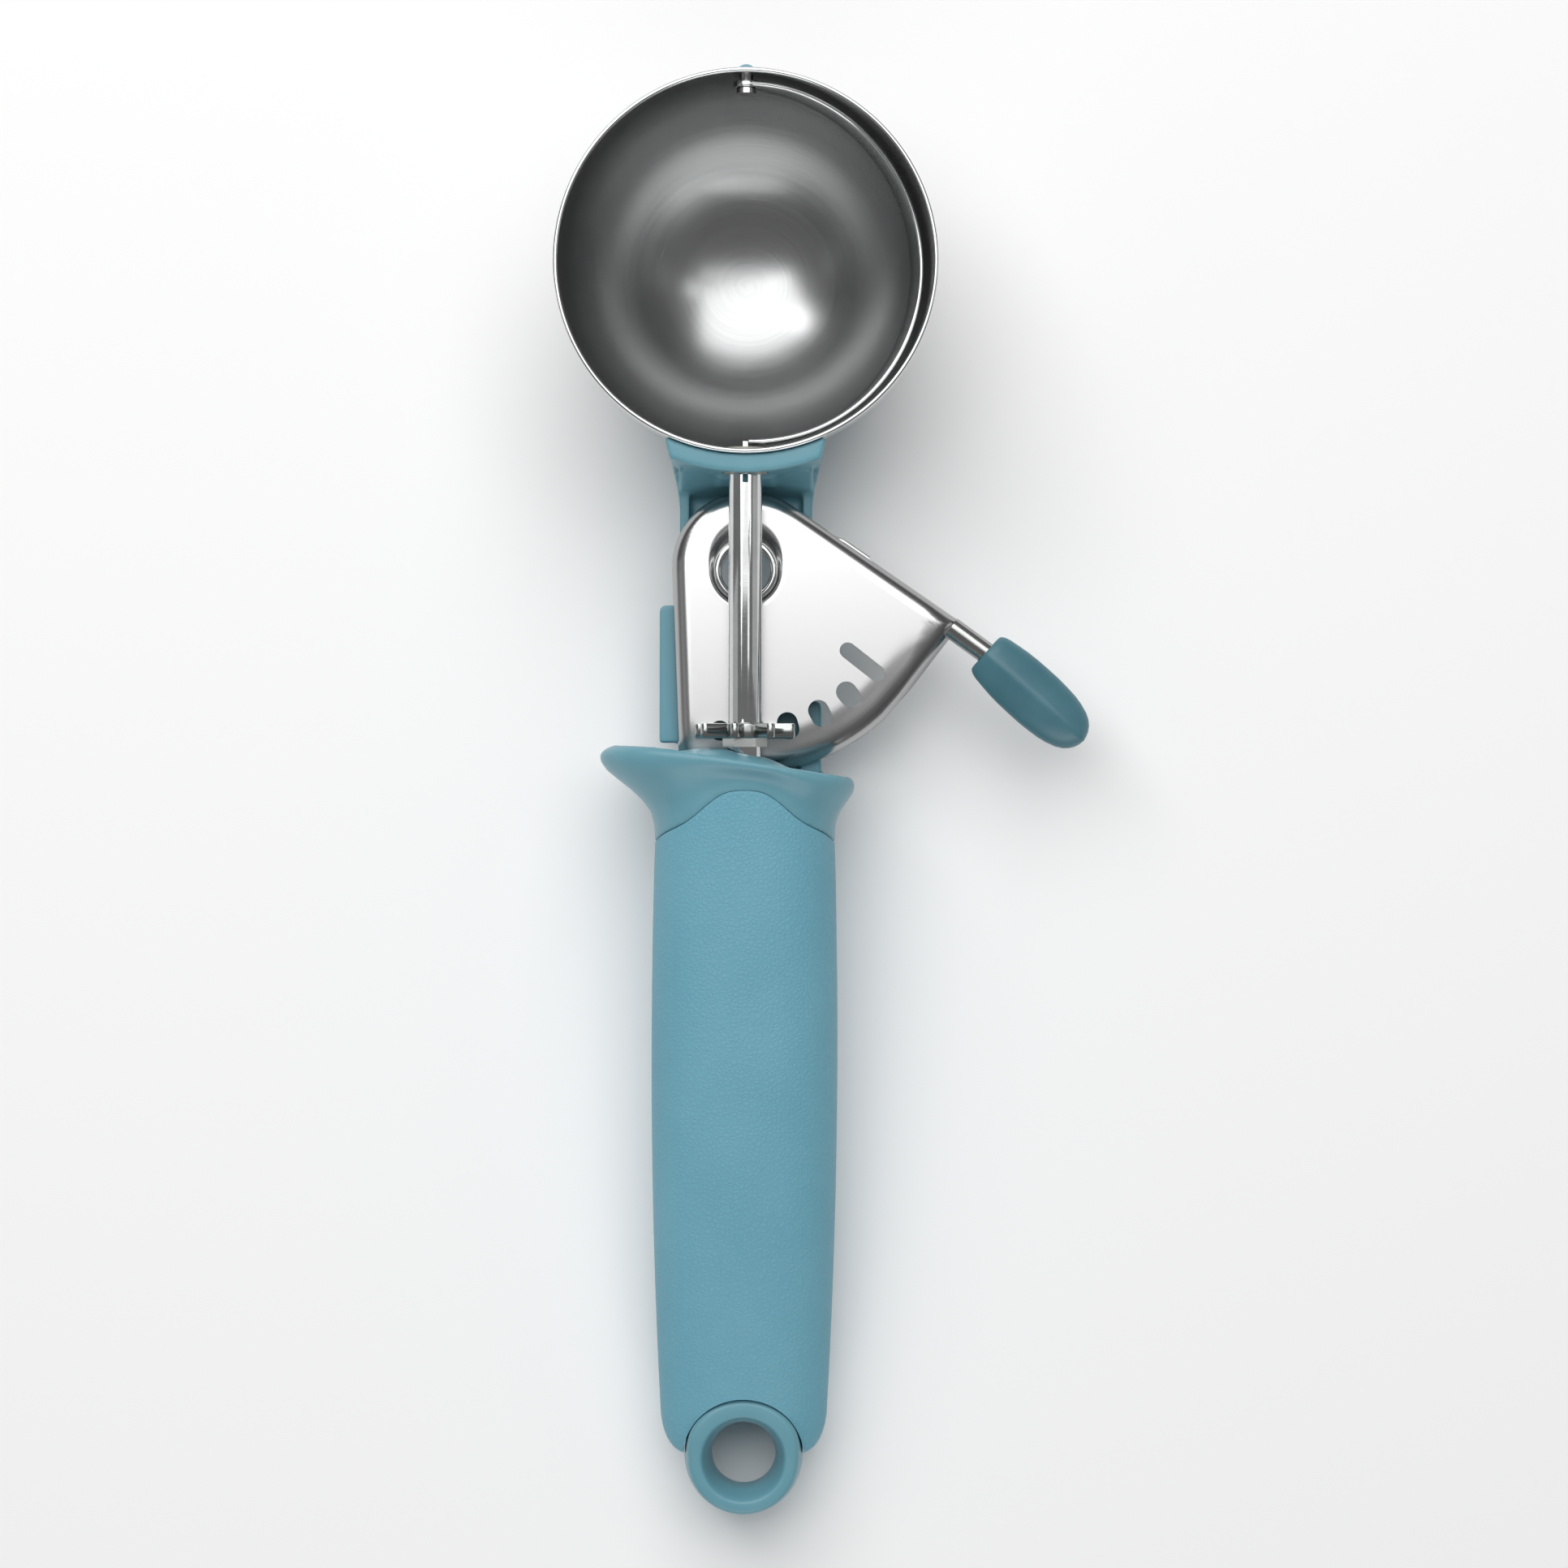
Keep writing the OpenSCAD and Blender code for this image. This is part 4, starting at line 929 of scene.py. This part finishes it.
def thumb_skin():
    """Paddle that is oval behind and has a low roof in front."""
    steps, fullness, thin = 72, 0.86, 0.25
    roof_curve, low_part, roof_part = 0.8, 0.45, 0.62
    rings = []
    for share, wide in THUMB:
        ring = []
        thick = thin + (1 - thin) * wide
        for i in range(steps):
            a = math.tau * (i + 0.5) / steps
            c, s = math.cos(a), math.sin(a)
            y = math.copysign(abs(c) ** fullness, c) * wide * THUMB_W / 2
            z = math.copysign(abs(s) ** fullness, s) * thick * THUMB_T / 2
            if s > 0:
                # two flat facets meet in a lengthwise ridge on the front
                roof = (1 - abs(y) / (wide * THUMB_W / 2 + 1e-6)) ** roof_curve
                z = low_part * z + roof_part * roof * thick * THUMB_T / 2
            ring.append((share * THUMB_LEN, y, z))
        rings.append(ring)
    mesh = loft(rings)
    a = math.radians(TANG_DROP)
    start = TANG_AT + THUMB_START * Vector((math.cos(a), -math.sin(a), 0))
    mesh.transform(at_pivot() @ Matrix.Translation(start)
                   @ Matrix.Rotation(-math.radians(THUMB_DROP), 4, "Z"))
    return mesh


def rivet_skin():
    """Hollow rivet with a rolled head at each end."""
    front = SECTOR_FRONT - DISH + 0.03
    back = FLOOR_BACK
    roll, foot, tuck, lap = (RIVET_HEAD - RIVET_BORE) / 2, 0.08, 0.12, 0.05
    outer = RIVET_BORE + RIVET_WALL

    def rolled(level, start):
        turns = [math.radians(a) for a in range(start, start + 181, 12)]
        return [(RIVET_BORE + roll + roll * math.cos(a), level + (RIVET_HEAD_T - foot) * math.sin(a))
                for a in turns]

    upper = [(RIVET_HEAD - tuck, front)] + rolled(front + foot, 0)
    lower = rolled(back - foot, 180) + [(RIVET_HEAD - tuck, back)]
    mesh = lathe(upper + lower + [(outer, back + lap), (outer, front - lap)], 96)
    mesh.transform(at_pivot())
    return mesh


def wire_skin(points, steps=20):
    """A round wire through points, with closed ends."""
    points = [Vector(p) for p in points]
    rings = []
    side = Vector((0, 0, 1))
    for i, p in enumerate(points):
        way = (points[min(i + 1, len(points) - 1)] - points[max(i - 1, 0)]).normalized()
        side = (side - way * side.dot(way)).normalized() if abs(side.dot(way)) < 0.99 else Vector((1, 0, 0))
        other = way.cross(side)
        rings.append([tuple(p + WIRE / 2 * (math.cos(math.tau * k / steps) * side
                                            + math.sin(math.tau * k / steps) * other))
                      for k in range(steps)])
    return loft(rings)


def spring_coil():
    """The turns, swept along a spiral by the tree, and the anchor in the floor."""
    g = Form("spring_turns", {"Turns": SPRING_TURNS, "Coil radius": SPRING_R,
                              "Height": SPRING_TURNS * SPRING_PITCH, "Wire radius": WIRE / 2})
    turns, radius, height, wire = g.inputs
    path = g.add("GeometryNodeCurveSpiral", None, {
        "Resolution": 64, "Rotations": turns, "Start Radius": radius, "End Radius": radius,
        "Height": height, "Reverse": True})
    ring = g.add("GeometryNodeCurvePrimitiveCircle", {"mode": "RADIUS"}, {
        "Resolution": 20, "Radius": wire})
    tube = g.add("GeometryNodeCurveToMesh", None, {
        "Curve": path, "Profile Curve": ring, "Fill Caps": True})
    coil = g.grow(tube, "wire")
    # the top end of the spiral is turned to where the leg starts
    spiral = np.array([v.co for v in coil.vertices])
    top = spiral[spiral[:, 2] > spiral[:, 2].max() - 0.02].mean(axis=0)
    turn = LEG_ANGLE - math.atan2(top[1], top[0])
    low = SPRING_TOP - SPRING_TURNS * SPRING_PITCH
    coil.transform(Matrix.Translation((0, 0, low)) @ Matrix.Rotation(turn, 4, "Z"))
    a = LEG_ANGLE + math.tau * SPRING_TURNS
    x, y = SPRING_R * math.cos(a), SPRING_R * math.sin(a)
    sink, straight, lap = 1.2, 0.5, 0.1
    anchor = wire_skin([(x, y, FLOOR_TOP - sink), (x, y, low - straight), (x, y, low + lap)])
    whole = joined(coil, anchor)
    whole.transform(at_pivot())
    return whole


def spring_leg():
    """The end of the wire that runs out to the sector's edge and lies along it."""
    out, turn_run, near = -0.1, 0.9, 0.9
    start = Vector((SPRING_R * math.cos(LEG_ANGLE), SPRING_R * math.sin(LEG_ANGLE), SPRING_TOP))
    bend, stop = edge_point(LEG_BEND, out, SPRING_TOP), edge_point(LEG_END, out, SPRING_TOP)
    points = [start.lerp(bend, k / 8) for k in range(8)]
    before = bend + (start - bend).normalized() * turn_run
    after = bend + (stop - bend).normalized() * turn_run
    points[-1] = start.lerp(bend, near)
    for k in range(7):
        s = k / 6
        points.append((1 - s) ** 2 * before + 2 * s * (1 - s) * bend + s * s * after)
    points += [after.lerp(stop, k / 3) for k in range(1, 4)]
    mesh = wire_skin(points)
    mesh.transform(at_pivot())
    return mesh


# Camera, square to the tool's plane: distance, place, roll, and the width it sees at the rim
CAMERA_FAR = 640.0
CAMERA_AT = (6.33, 108.64)
CAMERA_ROLL = 0.12
RIM_PLANE = SHAFT_Z + RIM_RISE
FRAME_WIDTH = 251.6
SENSOR = 36.0
WORLD_GLOW = 0.2

# Soft boxes in metres: name, place, aim, size and how bright the face looks
LIGHTS = [
    ("overhead", (0.03, 0.11, 0.95), (0.03, 0.13, 0), (1.00, 0.17), 1.15),
    ("key", (-0.08, 0.64, 0.81), (0, 0.19, 0), (1.15, 1.10), 2.35),
    ("left_fill", (-0.95, 0.05, 0.25), (0, 0.10, 0), (0.30, 0.90), 0.3),
    ("right_fill", (0.95, 0.20, 0.25), (0, 0.10, 0), (0.30, 0.90), 0.3),
    ("end_fill", (0.0, -0.95, 0.42), (0, 0.05, 0), (1.00, 0.45), 2.4),
    ("bowl_spark_right", (-0.55, 0.59, 0.66), (0, 0.19, 0), (0.22, 0.36), 1.9),
    ("bowl_spark_left", (0.53, 0.27, 0.79), (0, 0.19, 0), (0.14, 0.14), 1.9),
]


def set_camera():
    """The camera of the photograph, straight above the tool's plane."""
    data = bpy.data.cameras.new("camera")
    camera = linked("camera", data)
    data.sensor_width = SENSOR
    data.lens = SENSOR * (CAMERA_FAR - RIM_PLANE) / FRAME_WIDTH
    data.clip_start, data.clip_end = 0.01, 10.0
    place = LAY @ Vector((*CAMERA_AT, CAMERA_FAR))
    turn = Matrix.Rotation(TILT, 4, "X") @ Matrix.Rotation(math.radians(CAMERA_ROLL), 4, "Z")
    camera.matrix_world = Matrix.Translation(place) @ turn
    bpy.context.scene.camera = camera


def set_light(name, place, aim, size, glow):
    """A soft box, whose power follows from its size and how bright its face looks."""
    data = bpy.data.lights.new(name, "AREA")
    data.shape, data.size, data.size_y = "RECTANGLE", size[0], size[1]
    data.energy = glow * math.pi * size[0] * size[1]
    light = linked(name, data)
    light.location = place
    light.rotation_mode = "QUATERNION"
    light.rotation_quaternion = (Vector(aim) - Vector(place)).to_track_quat("-Z", "Y")


def set_stage():
    """Dim white surroundings, a pale floor under the tool, and the soft boxes."""
    world = bpy.data.worlds.new("studio")
    bpy.context.scene.world = world
    world.use_nodes = True
    world.node_tree.nodes["Background"].inputs[0].default_value = (1, 1, 1, 1)
    world.node_tree.nodes["Background"].inputs[1].default_value = WORLD_GLOW
    bpy.context.scene.view_settings.view_transform = "Standard"
    half = 1.6
    floor = linked("floor", mesh_of(
        [(-half, -half, 0), (half, -half, 0), (half, half, 0), (-half, half, 0)], [(0, 1, 2, 3)]))
    low = min(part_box("bowl")[0].z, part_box("hang_ring")[0].z)
    floor.data.transform(Matrix.Translation((0, 0.1, low - 0.0002)))
    paper = Finish("pale_paper", Base_Color=(0.94, 0.94, 0.94, 1), Roughness=0.9)
    floor.data.materials.append(paper.material)
    for light in LIGHTS:
        set_light(*light)


# The scene
set_camera()
set_stage()
settle("grip_skin", grip_skin(), "handle", "grip", ("grip_sleeve",))
settle("core_moulding", core_skin(), "handle", "core", ("handle_core",), crease=60)
settle("collar_dome", dome_skin(), "handle", "core")
settle("ring_loop", ring_skin(), "handle", "core", ("hang_ring",), crease=50)
settle("bowl_shell", bowl_skin(), "handle", "bowl", ("bowl",), crease=60,
       matrix=Matrix.Translation((0, BOWL_Y, SHAFT_Z)))
settle("blade_strip", blade_skin(), "scraper", "blade", ("scraper_blade",))
settle("shaft_tube", shaft_skin(), "scraper", "chrome", ("drive_shaft",))
settle("star_fingers", star_wheel_skin(), "scraper", "wheel", ("star_wheel",),
       matrix=along_y(WHEEL_Y, SHAFT_Z))
settle("sector_stamping", sector_skin(), "lever", "sector", ("sector_lever",), crease=40)
settle("lever_tang", tang_skin(), "lever", "tang")
settle("thumb_paddle", thumb_skin(), "lever", "thumb", ("thumb_tip",), crease=60)
settle("rivet_rolled", rivet_skin(), "handle", "chrome", ("pivot_rivet",), crease=50)
settle("spring_coil", spring_coil(), "handle", "wire", ("return_spring",), crease=50)
settle("spring_leg", spring_leg(), "lever", "wire", crease=50)

for node, finish in {
    "bowl_bracket": "steel", "bracket_rivets": "steel", "upper_bush": "bush", "lower_bush": "bush",
    "blade_pivot_pin": "chrome", "pivot_pin_cap": "core", "rivet_washer": "chrome", "hex_collar": "wheel",
}.items():
    solid = frame["nodes"][node]
    solid.data.materials.clear()
    solid.data.materials.append(FINISH[finish])
